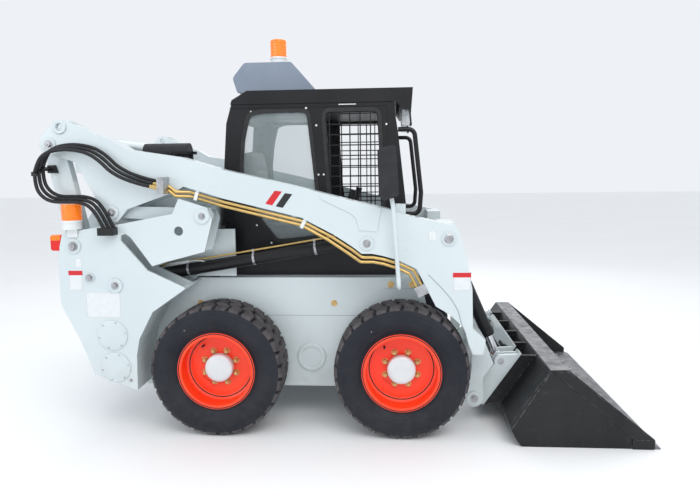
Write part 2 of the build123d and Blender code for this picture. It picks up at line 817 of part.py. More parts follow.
with BuildPart() as seat_cushions:
    with BuildSketch(side(240)) as cushion:
        Polygon(
            (-440, seat_top + fit), (10, seat_top + fit), (30, 1195), (-330, 1180), (-430, 1660),
            (-490, 1650), (-440, 1150),
            align=None,
        )
        fillet(cushion.vertices().group_by(Axis.Y)[1:], 24)
    extrude(amount=480)
seat_cushions.part.label = "seat_cushions"
export_step(seat_cushions.part, "parts/seat_cushions.step")

console_y = 335.0
with BuildPart() as consoles:
    with BuildSketch(side(-(console_y - 50))) as console:
        Polygon((-250, floor_top), (200, floor_top), (230, 1130), (-60, 1210), (-250, 1190), align=None)
    extrude(amount=100)
    mirror(about=Plane.XZ)
consoles.part.label = "consoles"
export_step(consoles.part, "parts/consoles.step")

with BuildPart() as control_levers:
    foot = Plane(origin=(mid_x + 170, -console_y, 1146.9), z_dir=(0.266, 0, 0.964))
    for radius, start, length in ((20, 0, 10), (11, 0, 190), (22, 180, 90)):
        with BuildSketch(foot.offset(start)):
            Circle(radius)
        extrude(amount=length)
    mirror(about=Plane.XZ)
control_levers.part.label = "control_levers"
export_step(control_levers.part, "parts/control_levers.step")

bar_r = 17.0
bar_reach = (110.0, 1330.0)
with BuildPart() as lap_bar:
    with BuildLine(Plane.XY):
        FilletPolyline(
            (mid_x + bar_pivot[0] + 14, -bar_half, bar_pivot[1] - 3),
            (mid_x + bar_reach[0], -bar_half, bar_reach[1]),
            (mid_x + bar_reach[0], bar_half, bar_reach[1]),
            (mid_x + bar_pivot[0] + 14, bar_half, bar_pivot[1] - 3),
            radius=60,
        )
    with BuildSketch(
        Plane(
            origin=(mid_x + bar_pivot[0] + 14, -bar_half, bar_pivot[1] - 3),
            z_dir=(bar_reach[0] - bar_pivot[0] - 14, 0, bar_reach[1] - bar_pivot[1] + 3),
        )
    ):
        Circle(bar_r)
    sweep()
    for outward in (-1, 1):
        with BuildSketch(side(outward * bar_half + 17)):
            with Locations(bar_pivot):
                Circle(28)
        extrude(amount=34)
    for outward in (-1, 1):
        with BuildSketch(side(outward * bar_half + 18)):
            with Locations(bar_pivot):
                Circle(bar_pin_r + pin_fit)
        extrude(amount=36, mode=Mode.SUBTRACT)
lap_bar.part.label = "lap_bar"
export_step(lap_bar.part, "parts/lap_bar.step")

# ---------------------------------------------------------------- lift linkage
link_half = 60.0
eye_r = 46.0


def bar_outline(foot, head, foot_r, head_r):
    """Corners of the web between two eyes, as wide at each end as that end's eye."""
    run = hypot(head[0] - foot[0], head[1] - foot[1])
    across_x = -(head[1] - foot[1]) / run
    across_z = (head[0] - foot[0]) / run
    return (
        (foot[0] + across_x * foot_r, foot[1] + across_z * foot_r),
        (foot[0] - across_x * foot_r, foot[1] - across_z * foot_r),
        (head[0] - across_x * head_r, head[1] - across_z * head_r),
        (head[0] + across_x * head_r, head[1] + across_z * head_r),
    )


with BuildPart() as rear_links:
    with BuildSketch(side(-link_in)):
        Polygon(*bar_outline(link_foot, link_head, link_half, link_half), align=None)
        for pivot in (link_foot, link_head):
            with Locations(pivot):
                Circle(link_half)
        for pivot in (link_foot, link_head):
            with Locations(pivot):
                Circle(pin_r + pin_fit, mode=Mode.SUBTRACT)
    extrude(amount=link_w)
    mirror(about=Plane.XZ)
rear_links.part.label = "rear_links"
export_step(rear_links.part, "parts/rear_links.step")

with BuildPart() as control_links:
    with BuildSketch(side(-link_in)):
        Polygon(*bar_outline(control_foot, control_head, 40, 34), align=None)
        with Locations(control_foot):
            Circle(eye_r)
        with Locations(control_head):
            Circle(40)
        with Locations(control_foot):
            Circle(pin_r + pin_fit, mode=Mode.SUBTRACT)
    extrude(amount=link_w)
    mirror(about=Plane.XZ)
control_links.part.label = "control_links"
export_step(control_links.part, "parts/control_links.step")

# ---------------------------------------------------------------- arms
arm_top = (
    (-1478, 1733), (-1400, 1818), (-1350, 1829), (-1247, 1780), (-1075, 1707), (-990, 1657),
    (-687, 1610), (-445, 1537), (-53, 1445), (267, 1361), (457, 1315), (559, 1279), (828, 1220),
    (849, 1188), (881, 1067), (921, 870), (927, 637),
)
leg_rear = (
    (882, 640), (850, 678), (811, 715), (768, 746), (722, 773), (616, 983), (516, 1031), (430, 1056),
)
knuckle = ((372, 1068), (314, 1068), (262, 1108), (163, 1173))
beam_low = ((-17, 1270), (-455, 1379), (-676, 1448))
plate_low = ((-725, 1420), (-1006, 1323), (-1066, 1251), (-1120, 1262), (-1290, 1590), (-1400, 1625))
box_rear = ((-990, 1470), (-1080, 1530), (-1300, 1530), (-1300, 1804))
knee = ((882, 650), (927, 650), (997, 584), (985, 500), (928, 500), (904, 560), (882, 640))
leg_low = (
    (882, 650), (927, 650), (997, 584), (1070, 398), (1009, 307), (1018, 200), (960, 138),
    (913, 190), (915, 240), (938, 310), (945, 387), (943, 440), (928, 500), (904, 560),
)
tool_boss_r = 54.0
leg_out = 640.0
leg_in = 574.0
eye_hole = (-1366.0, 1785.0)
eye_hole_r = 20.0

clevis_gap = 6.0
lift_eye_r = 42.0
lift_eye_w = 50.0
pad_in = lift_y + lift_r + clevis_gap        # knuckle clevis, its two inner faces
ear_out = lift_y - lift_r - clevis_gap
ear_t = 14.0
knuckle_pad = ((270, 1110), (314, 1066), (372, 1066), (430, 1110), (450, 1240), (250, 1240))
knuckle_web = ((262, 1196), (440, 1196), (450, 1240), (250, 1240))
tilt_ear_t = 14.0
tilt_slot = tilt_r + 6.0                     # half the gap between the tilt clevis plates
tilt_clevis = (
    (745, 1225), (835, 1225), (842, 1140), (815, 1096), (765, 1096), (738, 1140),
)
tilt_pin_r = 22.0

with BuildPart() as arm_right:
    # Outer and inner plates, then the box between them
    for y_in in (arm_out - arm_plate, arm_in):
        with BuildSketch(side(-y_in)):
            Polygon(*arm_top, *leg_rear, *knuckle, *beam_low, *plate_low, align=None)
            with Locations(link_head):
                Circle(link_half)
        extrude(amount=arm_plate)
    with BuildSketch(side(-(arm_in + arm_plate - 1))):
        Polygon(*arm_top[3:], *leg_rear, *knuckle, *beam_low, *box_rear, align=None)
    extrude(amount=arm_w - 2 * arm_plate + 2)
    with BuildSketch(side(-arm_in)):
        with Locations(link_head):
            Circle(pin_r)
    extrude(amount=arm_w + boss_t)
    for pivot in (link_head, control_head, lift_eye, tilt_head):
        with BuildSketch(side(-arm_out)):
            with Locations(pivot):
                Circle(boss_r - 4)
        extrude(amount=boss_t)
    # Stub of the control link's pin
    with BuildSketch(side(-(link_in + link_w + clevis_gap))):
        with Locations(control_head):
            Circle(pin_r)
    extrude(amount=arm_out - arm_plate - link_in - link_w - clevis_gap + 1)
    # Lifting eye at the rear
    with BuildSketch(side(-arm_in)):
        with Locations(eye_hole):
            Circle(eye_hole_r)
    extrude(amount=arm_w, mode=Mode.SUBTRACT)
    # Stop block on the beam
    with BuildSketch(side(-(arm_in + 20))):
        Polygon((501, 1290), (557, 1270), (557, 1338), (501, 1341), align=None)
    extrude(amount=60)
    # Clevis of the lift cylinder's rod, inboard of the beam, with the two stubs of its pin
    for outline, y_low, y_high in (
        (knuckle_pad, pad_in, arm_in + 1),
        (knuckle_pad, ear_out - ear_t, ear_out),
        (knuckle_web, ear_out - 1, pad_in + 1),
    ):
        with BuildSketch(side(-y_low)):
            Polygon(*outline, align=None)
        extrude(amount=y_high - y_low)
    for y_low, y_high in (
        (lift_y + lift_eye_w / 2 + clevis_gap, pad_in + 1),
        (ear_out - 1, lift_y - lift_eye_w / 2 - clevis_gap),
    ):
        with BuildSketch(side(-y_low)):
            with Locations(lift_eye):
                Circle(tilt_pin_r)
        extrude(amount=y_high - y_low)
    # Bracket of the tilt cylinder, its clevis and its pin
    with BuildSketch(side(-(tilt_y + tilt_slot))):
        Polygon(*tilt_clevis, align=None)
    extrude(amount=arm_in + 1 - tilt_y - tilt_slot)
    with BuildSketch(side(-(tilt_y - tilt_slot - tilt_ear_t))):
        Polygon(*tilt_clevis, align=None)
    extrude(amount=tilt_ear_t)
    with BuildSketch(side(-(tilt_y - tilt_slot - 1))):
        Polygon((742, 1200), (838, 1200), (835, 1225), (745, 1225), align=None)
    extrude(amount=2 * tilt_slot + 2)
    with BuildSketch(side(-(tilt_y - tilt_slot - tilt_ear_t - 8))):
        with Locations(tilt_head):
            Circle(tilt_pin_r)
    extrude(amount=2 * tilt_slot + tilt_ear_t + 20)
    # Knee, lower leg and the quick attach's pin
    with BuildSketch(side(-(leg_out - 1))):
        Polygon(*knee, align=None)
    extrude(amount=arm_out - leg_out + 1)
    with BuildSketch(side(-leg_in)):
        Polygon(*leg_low, align=None)
        with Locations(tool_pivot):
            Circle(tool_boss_r)
    extrude(amount=leg_out - leg_in)
    with BuildSketch(side(-leg_out)):
        with Locations(tool_pivot):
            Circle(boss_r)
    extrude(amount=boss_t)
    with BuildSketch(side(-(leg_in - 45))):
        with Locations(tool_pivot):
            Circle(pin_r)
    extrude(amount=50)
arm_right.part.label = "arm_right"
export_step(arm_right.part, "parts/arm_right.step")

with BuildPart() as arm_left:
    mirror(arm_right.part, about=Plane.XZ)
arm_left.part.label = "arm_left"
export_step(arm_left.part, "parts/arm_left.step")

with BuildPart() as arm_cross_tube:
    with BuildSketch(side(arm_in - fit)):
        with Locations((-1200, 1690)):
            Circle(50)
            Circle(42, mode=Mode.SUBTRACT)
    extrude(amount=2 * (arm_in - fit))
arm_cross_tube.part.label = "arm_cross_tube"
export_step(arm_cross_tube.part, "parts/arm_cross_tube.step")

# ---------------------------------------------------------------- cylinders
def along(foot, head, y, start):
    """Plane square to the line from foot to head, start along it from foot, at -y."""
    run = hypot(head[0] - foot[0], head[1] - foot[1])
    step_x = (head[0] - foot[0]) / run
    step_z = (head[1] - foot[1]) / run
    return Plane(
        origin=(mid_x + foot[0] + start * step_x, -y, foot[1] + start * step_z),
        x_dir=(0, 1, 0),
        z_dir=(step_x, 0, step_z),
    )


# name, foot, head, y, barrel radius, bore radius, rod radius, barrel length, rod length,
# foot eye radius, foot eye width, foot pin radius, head eye radius, head eye width
cylinders = (
    ("lift", lift_base, lift_eye, lift_y, lift_r, 30.0, 22.0, 1385.0, 1380.0,
     eye_r, 2 * lift_r, pin_r, lift_eye_r, lift_eye_w),
    ("tilt", tilt_head, tilt_eye, tilt_y, tilt_r, 31.0, 20.0, 690.0, 670.0,
     40.0, 2 * tilt_r, tilt_pin_r, 34.0, 2 * tilt_slot - 16.0),
)
piston_w = 36.0
gland_w = 32.0
for (name, foot, head, y, barrel_r, bore_r, rod_r, barrel_len, rod_len,
     foot_eye_r, foot_eye_w, foot_pin_r, head_eye_r, head_eye_w) in cylinders:
    run = hypot(head[0] - foot[0], head[1] - foot[1])
    bore_start = foot_eye_r + 6
    with BuildPart() as barrels:
        with BuildSketch(along(foot, head, y, foot_eye_r - 12)):
            Circle(barrel_r)
        extrude(amount=barrel_len - foot_eye_r + 12)
        with BuildSketch(side(-(y - foot_eye_w / 2))):
            with Locations(foot):
                Circle(foot_eye_r)
        extrude(amount=foot_eye_w)
        with BuildSketch(along(foot, head, y, bore_start)):
            Circle(bore_r)
        extrude(amount=barrel_len - gland_w - bore_start, mode=Mode.SUBTRACT)
        with BuildSketch(along(foot, head, y, barrel_len - gland_w - 1)):
            Circle(rod_r + fit)
        extrude(amount=gland_w + 2, mode=Mode.SUBTRACT)
        with BuildSketch(side(-(y - foot_eye_w / 2 - 1))):
            with Locations(foot):
                Circle(foot_pin_r + pin_fit)
        extrude(amount=foot_eye_w + 2, mode=Mode.SUBTRACT)
        mirror(about=Plane.XZ)
    node = name + "_barrels"
    barrels.part.label = node
    export_step(barrels.part, "parts/" + node + ".step")

    with BuildPart() as rods:
        with BuildSketch(along(foot, head, y, run - rod_len)):
            Circle(bore_r - fit)
        extrude(amount=piston_w)
        with BuildSketch(along(foot, head, y, run - rod_len + piston_w - 1)):
            Circle(rod_r)
        extrude(amount=rod_len - piston_w + 1)
        with BuildSketch(side(-(y - head_eye_w / 2))):
            with Locations(head):
                Circle(head_eye_r)
        extrude(amount=head_eye_w)
        mirror(about=Plane.XZ)
    node = name + "_rods"
    rods.part.label = node
    export_step(rods.part, "parts/" + node + ".step")

# ---------------------------------------------------------------- quick attach and bucket
face_low = (1026.0, 115.0)      # quick attach's front face, side view
face_high = (1247.0, 435.0)
face_len = hypot(face_high[0] - face_low[0], face_high[1] - face_low[1])
face_x = (face_high[0] - face_low[0]) / face_len
face_z = (face_high[1] - face_low[1]) / face_len
frame_half = 565.0
frame_t = 18.0
tool_plane = Plane(
    origin=(mid_x + face_low[0], 0, face_low[1]), x_dir=(0, -1, 0), z_dir=(-face_z, 0, face_x)
)
outer_ear = (
    (927, 220), (1001, 285), (1090, 372), (1103, 420), (1160, 427), (1230, 430), (1023, 131),
    (960, 138),
)
inner_ear = ((1040, 230), (1090, 372), (1103, 420), (1160, 427), (1230, 430), (1075, 205))
ear_boss_r = 38.0
notch_low = 225.0               # notch for the tilt cylinder's eye, up the face to its top
notch_len = face_len - notch_low + 2.0
notch_mid = notch_low + notch_len / 2
# sideways place of the inner face, thickness, outline, whether it carries the arm's pin
tool_ears = (
    (leg_in - clevis_gap - 28, 28.0, outer_ear, True),
    (tilt_y + tilt_slot, 14.0, inner_ear, False),
    (tilt_y - tilt_slot - 14, 14.0, inner_ear, False),
)
with BuildPart() as quick_attach:
    with BuildSketch(tool_plane):
        with Locations((0, face_len / 2)):
            Rectangle(2 * frame_half, face_len)
        with Locations((0, face_len / 2 + 10)):
            RectangleRounded(620, 190, 30, mode=Mode.SUBTRACT)
    extrude(amount=frame_t)
    for y_in, thickness, outline, pinned in tool_ears:
        with BuildSketch(side(-y_in)):
            Polygon(*outline, align=None)
            with Locations(tilt_eye):
                Circle(ear_boss_r)
            if pinned:
                with Locations(tool_pivot):
                    Circle(48)
        extrude(amount=thickness)
        if pinned:
            with BuildSketch(side(-(y_in - 1))):
                with Locations(tool_pivot):
                    Circle(pin_r + pin_fit)
            extrude(amount=thickness + 2, mode=Mode.SUBTRACT)
    mirror(about=Plane.XZ)
    with BuildSketch(tool_plane.offset(-1)):
        for outward in (-1, 1):
            with Locations((outward * tilt_y, notch_mid)):
                Rectangle(2 * tilt_slot, notch_len)
    extrude(amount=frame_t + 2, mode=Mode.SUBTRACT)
quick_attach.part.label = "quick_attach"
export_step(quick_attach.part, "parts/quick_attach.step")

bucket_t = 12.0
edge_rear = 1780.0
edge_t = 20.0
back_low = (1125.0, 126.0)
back_high = (1336.0, 432.0)
bucket_shell = (
    (1336, 432), (1125, 126), (1133, 94), (1161, 38), (1192, 0), (edge_rear, 0),
    (edge_rear, bucket_t), (1198, bucket_t), (1171, 44), (1145, 97), (1139, 122), (1345, 420),
    (1440, 420), (1440, 434),
)
bucket_side = (
    (1336, 432), (1440, 434), (1901, 54), (1901, edge_t + fit), (edge_rear, edge_t + fit),
    (edge_rear, 0), (1192, 0), (1161, 38), (1133, 94), (1125, 126),
)
receiver = ((1031, 122), (1240, 424), (1333, 424), (1130, 129))
receiver_face = ((1031, 122), (1240, 424), (1250, 417), (1041, 115))
receiver_half = 560.0
with BuildPart() as bucket:
    with BuildSketch(side(bucket_half)):
        Polygon(*bucket_shell, align=None)
    extrude(amount=2 * bucket_half)
    for y_high in (bucket_half, -(bucket_half - bucket_t)):
        with BuildSketch(side(y_high)):
            Polygon(*bucket_side, align=None)
        extrude(amount=bucket_t)
    with BuildSketch(side(receiver_half)):
        Polygon(*receiver_face, align=None)
    extrude(amount=2 * receiver_half)
    with BuildSketch(tool_plane.offset(-30)):
        for outward in (-1, 1):
            with Locations((outward * tilt_y, notch_mid)):
                Rectangle(2 * tilt_slot, notch_len)
    extrude(amount=40, mode=Mode.SUBTRACT)
    for y in (receiver_half - 8, 280, 0, -280, -(receiver_half - 8)):
        with BuildSketch(side(y + 8)):
            Polygon(*receiver, align=None)
        extrude(amount=16)
bucket.part.label = "bucket"
export_step(bucket.part, "parts/bucket.step")

with BuildPart() as cutting_edge:
    with BuildSketch(side(bucket_half)):
        Polygon(
            (edge_rear + fit, 0), (front_reach - 3, 0), (front_reach, 6), (1896, edge_t),
            (edge_rear + fit, edge_t),
            align=None,
        )
    extrude(amount=2 * bucket_half)
cutting_edge.part.label = "cutting_edge"
export_step(cutting_edge.part, "parts/cutting_edge.step")

# Latch handles on the quick attach's rear
lock_y = 335.0
with BuildPart() as lock_levers:
    with BuildSketch(tool_plane.offset(frame_t + fit)):
        with Locations((-lock_y, face_len - 60), (lock_y, face_len - 60)):
            Circle(22)
    extrude(amount=26)
    with BuildSketch(tool_plane.offset(frame_t + fit + 14)):
        for outward in (-1, 1):
            with Locations((outward * (lock_y - 55), face_len - 60)):
                SlotOverall(150, 22)
    extrude(amount=12)
lock_levers.part.label = "lock_levers"
export_step(lock_levers.part, "parts/lock_levers.step")

# ---------------------------------------------------------------- hydraulic lines
hose_r = 10.0
hose_count = 3
hose_step = (12.0, 14.0)        # how far each hose lies forward of and above the one outside it
hose_gap = 54.0                 # outermost hose, out from the side plate
hose_out = upright_out + hose_gap
hose_pitch = 21.0
ferrule_r = 10.5
# Outermost hose, side view: from the arm over the rear pivot to the clamp on the rear link
upper_route = (
    (-835, 1452), (-1013, 1491), (-1143, 1629), (-1279, 1662), (-1400, 1650), (-1460, 1605), (-1483, 1535),
)
# From the clamp forward to the side plate
lower_route = (
    (-1484, 1515), (-1484, 1456), (-1454, 1404), (-1402, 1374), (-1330, 1371), (-1240, 1372),
    (-1165, 1338), (-1128, 1262),
)


def hose_path(route, index):
    """A hose's points in space: the outermost hose's route, moved by the hose's place in the bundle."""
    y = -(hose_out - index * hose_pitch)
    return [(mid_x + x + index * hose_step[0], y, z + index * hose_step[1]) for x, z in route]


def corner_radii(points):
    """Largest smooth radius at each corner of a path: 0.45 of its shorter run, over tan of half the turn."""
    radii = []
    for before, corner, after in zip(points, points[1:], points[2:]):
        run_in = Vector(*corner) - Vector(*before)
        run_out = Vector(*after) - Vector(*corner)
        half_turn = radians(run_in.get_angle(run_out)) / 2
        radii.append(0.45 * min(run_in.length, run_out.length) / tan(half_turn))
    return radii


for node, route in (("hoses_upper", upper_route), ("hoses_lower", lower_route)):
    with BuildPart() as hoses:
        for index in range(hose_count):
            points = hose_path(route, index)
            radii = corner_radii(points)
            with BuildLine(Plane.XY):
                FilletPolyline(*points, radius=radii)
            with BuildSketch(Plane(origin=points[0], z_dir=Vector(*points[1]) - Vector(*points[0]))):
                Circle(hose_r)
            sweep()
        mirror(about=Plane.XZ)
    print(node, "smallest corner radius", round(min(radii), 1))
    hoses.part.label = node
    export_step(hoses.part, "parts/" + node + ".step")

# Clamp that holds the hoses behind the rear link, stepped like the bundle
clamp_x, clamp_z = lower_route[0]
clamp_high = upper_route[-1][1] - fit
clamp_low = clamp_z + fit
with BuildPart() as hose_clamps:
    for index in range(hose_count):
        x, z = (clamp_x + index * hose_step[0], index * hose_step[1])
        inner = hose_out - (index + 0.5) * hose_pitch
        if index == hose_count - 1:
            inner = link_in + link_w + fit
        outer = hose_out - (index - 0.5) * hose_pitch
        with BuildSketch(side(-inner)):
            Polygon(
                (x - 14, clamp_low + z), (x + 14, clamp_low + z), (x + 14, clamp_high + z - 5),
                (x - 14, clamp_high + z + 4),
                align=None,
            )
        extrude(amount=outer - inner)
    with BuildSketch(side(-(link_in + link_w + fit))):
        Polygon((-1474, 1532), (-1410, 1532), (-1424, 1576), (-1474, 1576), align=None)
    extrude(amount=8)
    mirror(about=Plane.XZ)
hose_clamps.part.label = "hose_clamps"
export_step(hose_clamps.part, "parts/hose_clamps.step")

# Block on the side plate where the hoses go in
with BuildPart() as hose_blocks:
    with BuildSketch(side(-(upright_out + fit))):
        Polygon((-1142, 1184), (-1056, 1184), (-1056, 1226), (-1142, 1226), align=None)
    extrude(amount=hose_out + 14 - upright_out)
    for index in range(hose_count):
        end = hose_path(lower_route, index)[-1]
        before = hose_path(lower_route, index)[-2]
        lean = Vector(*end) - Vector(*before)
        drop = (end[2] - fit - 1224) / -lean.Z
        with BuildSketch(Plane(origin=Vector(*end) + lean * (fit / lean.length), z_dir=lean)):
            Circle(ferrule_r)
        extrude(amount=lean.length * drop)
    mirror(about=Plane.XZ)
hose_blocks.part.label = "hose_blocks"
export_step(hose_blocks.part, "parts/hose_blocks.step")

# Steel pipes along the arm, with the block that the hoses screw into and the block at the leg
pipe_r = 9.0
block_rear = -790.0
block_front = -756.0
pipe_y = arm_out - arm_plate + 4.0
pipe_out_y = arm_out + pipe_r + 4.0
upper_pipe = (
    (-640, 1416), (-455, 1360), (-22, 1252), (140, 1166), (258, 1090), (316, 1046), (376, 1046), (432, 1036),
    (520, 1010), (601, 974), (643, 891),
)
lower_pipe = (
    (-640, 1392), (-455, 1336), (-22, 1228), (126, 1146), (244, 1066), (308, 1020), (376, 1020), (432, 1010),
    (510, 986), (579, 954), (618, 878),
)
# route, height where the pipe leaves the block
pipes = ((upper_pipe, 1452.0), (lower_pipe, 1428.0))
with BuildPart() as arm_pipes:
    for route, start_z in pipes:
        points = [
            (mid_x + block_front - 1, -pipe_out_y, start_z),
            (mid_x - 716, -pipe_out_y, route[0][1] + 4),
            *((mid_x + x, -pipe_y, z) for x, z in route),
        ]
        radii = [min(30.0, radius) for radius in corner_radii(points)]
        with BuildLine(Plane.XY):
            FilletPolyline(*points, radius=radii)
        with BuildSketch(Plane(origin=points[0], z_dir=Vector(*points[1]) - Vector(*points[0]))):
            Circle(pipe_r)
        sweep()
    with BuildSketch(side(-(arm_out + fit))):
        Polygon(
            (block_rear, 1412), (block_front, 1412), (block_front, 1500), (block_rear, 1500),
            align=None,
        )
    extrude(amount=hose_out + 14 - arm_out)
    for index in range(hose_count):
        start = hose_path(upper_route, index)[0]
        after = hose_path(upper_route, index)[1]
        lean = Vector(*start) - Vector(*after)
        reach = (mid_x + block_rear + 2 - start[0]) / lean.X
        with BuildSketch(Plane(origin=Vector(*start) + lean * (fit / lean.length), z_dir=lean)):
            Circle(ferrule_r)
        extrude(amount=lean.length * reach)
    with BuildSketch(side(-(pipe_y - 14))):
        Polygon((657.7, 899.8), (604.4, 873), (629.6, 823), (682.7, 849.8), align=None)
    extrude(amount=28)
    mirror(about=Plane.XZ)
arm_pipes.part.label = "arm_pipes"
export_step(arm_pipes.part, "parts/arm_pipes.step")
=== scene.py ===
"""Looks of the skid steer loader: materials, tread, bolts, labels, glass, seat and hydraulic lines.

Lengths below are in millimetres, as in the CAD model, and at() turns them into metres of the shared frame.
Side-view points are (x, z), with x measured forward from halfway between the axles.
"""
from cmath import phase, rect
from math import cos, pi, radians, sin, tau

import bmesh
import bpy
from mathutils import Matrix, Vector


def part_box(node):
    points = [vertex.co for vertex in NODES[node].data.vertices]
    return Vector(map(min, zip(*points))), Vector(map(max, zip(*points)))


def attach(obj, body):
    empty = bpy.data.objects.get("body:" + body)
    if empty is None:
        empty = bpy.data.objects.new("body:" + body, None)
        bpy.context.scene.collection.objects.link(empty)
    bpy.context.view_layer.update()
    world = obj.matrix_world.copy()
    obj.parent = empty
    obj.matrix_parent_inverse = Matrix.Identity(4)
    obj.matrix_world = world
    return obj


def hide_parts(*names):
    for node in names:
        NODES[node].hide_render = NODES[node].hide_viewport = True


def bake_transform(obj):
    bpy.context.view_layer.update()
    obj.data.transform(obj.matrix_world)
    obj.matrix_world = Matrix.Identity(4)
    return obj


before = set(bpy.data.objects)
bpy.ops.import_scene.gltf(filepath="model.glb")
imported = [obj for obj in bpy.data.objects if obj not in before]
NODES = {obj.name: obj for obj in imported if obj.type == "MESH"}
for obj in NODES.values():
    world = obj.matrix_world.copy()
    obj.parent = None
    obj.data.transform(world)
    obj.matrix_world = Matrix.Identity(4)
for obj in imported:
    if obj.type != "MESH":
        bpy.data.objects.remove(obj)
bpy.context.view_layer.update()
scene = bpy.context.scene
scene.view_settings.view_transform = "Standard"


# -------- places
def middle(node):
    """The middle of a node's box, in metres."""
    low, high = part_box(node)
    return (Vector(low) + Vector(high)) / 2


FRONT_AXLE = middle("tyre_front_right")
REAR_AXLE = middle("tyre_rear_right")
MID_X = (FRONT_AXLE.x + REAR_AXLE.x) / 2
TRACK_HALF = abs(FRONT_AXLE.y) * 1000
# Outer faces, measured from the machine's middle plane
UPRIGHT_OUT = 830.0
ARM_OUT = 806.0
CHASSIS_HALF = 545.0
CAB_HALF = 450.0
BUCKET_HALF = 870.0
SIDES = (("right", -1), ("left", 1))


def at(x, y, z):
    """A point of the machine, in metres of the frame."""
    return Vector((MID_X + x / 1000, y / 1000, z / 1000))


# -------- camera and light
CAMERA_AT = Vector((0.26549, -4.05648, 1.50540))
CAMERA_YAW = radians(4.145)
CAMERA_PITCH = radians(6.839)
CAMERA_ROLL = radians(-0.691)
SENSOR_WIDTH = 36.0  # millimetres
FOCAL_LENGTH = 30.58
camera_data = bpy.data.cameras.new("camera")
camera_data.sensor_width = SENSOR_WIDTH
camera_data.lens = FOCAL_LENGTH
camera = bpy.data.objects.new("camera", camera_data)
forward = Vector((
    -sin(CAMERA_YAW) * cos(CAMERA_PITCH), cos(CAMERA_YAW) * cos(CAMERA_PITCH), -sin(CAMERA_PITCH)
))
level_right = Vector((cos(CAMERA_YAW), sin(CAMERA_YAW), 0))
level_up = level_right.cross(forward)
right = cos(CAMERA_ROLL) * level_right + sin(CAMERA_ROLL) * level_up
up = cos(CAMERA_ROLL) * level_up - sin(CAMERA_ROLL) * level_right
camera.matrix_world = Matrix.Translation(CAMERA_AT) @ Matrix((right, up, -forward)).transposed().to_4x4()
scene.collection.objects.link(camera)
scene.camera = camera


def area_light(name, place, target, size, power, colour=(1, 1, 1)):
    """A rectangular lamp at place, facing target."""
    data = bpy.data.lights.new(name, "AREA")
    data.shape = "RECTANGLE"
    data.size, data.size_y = size
    data.energy = power
    data.color = colour
    lamp = bpy.data.objects.new(name, data)
    lamp.location = place
    lamp.rotation_euler = (Vector(target) - Vector(place)).to_track_quat("-Z", "Y").to_euler()
    scene.collection.objects.link(lamp)


area_light("key", (1.5, -4.5, 5.0), (0, 0, 0.8), (5.0, 3.0), 150, (1.0, 0.98, 0.95))
area_light("fill", (-4.5, -4.0, 2.5), (0, 0, 0.9), (3.0, 3.0), 45, (0.93, 0.97, 1.0))
area_light("top", (-0.3, 0.5, 5.5), (-0.3, 0, 0), (5.0, 4.0), 60)
area_light("back", (0.5, 5.0, 3.5), (0, 0, 1.0), (5.0, 2.5), 45, (0.95, 0.98, 1.0))

world = bpy.data.worlds.new("studio")
scene.world = world
world.use_nodes = True
sky = world.node_tree.nodes["Background"]
sky.inputs["Color"].default_value = (0.93, 0.96, 1.0, 1.0)
sky.inputs["Strength"].default_value = 0.92


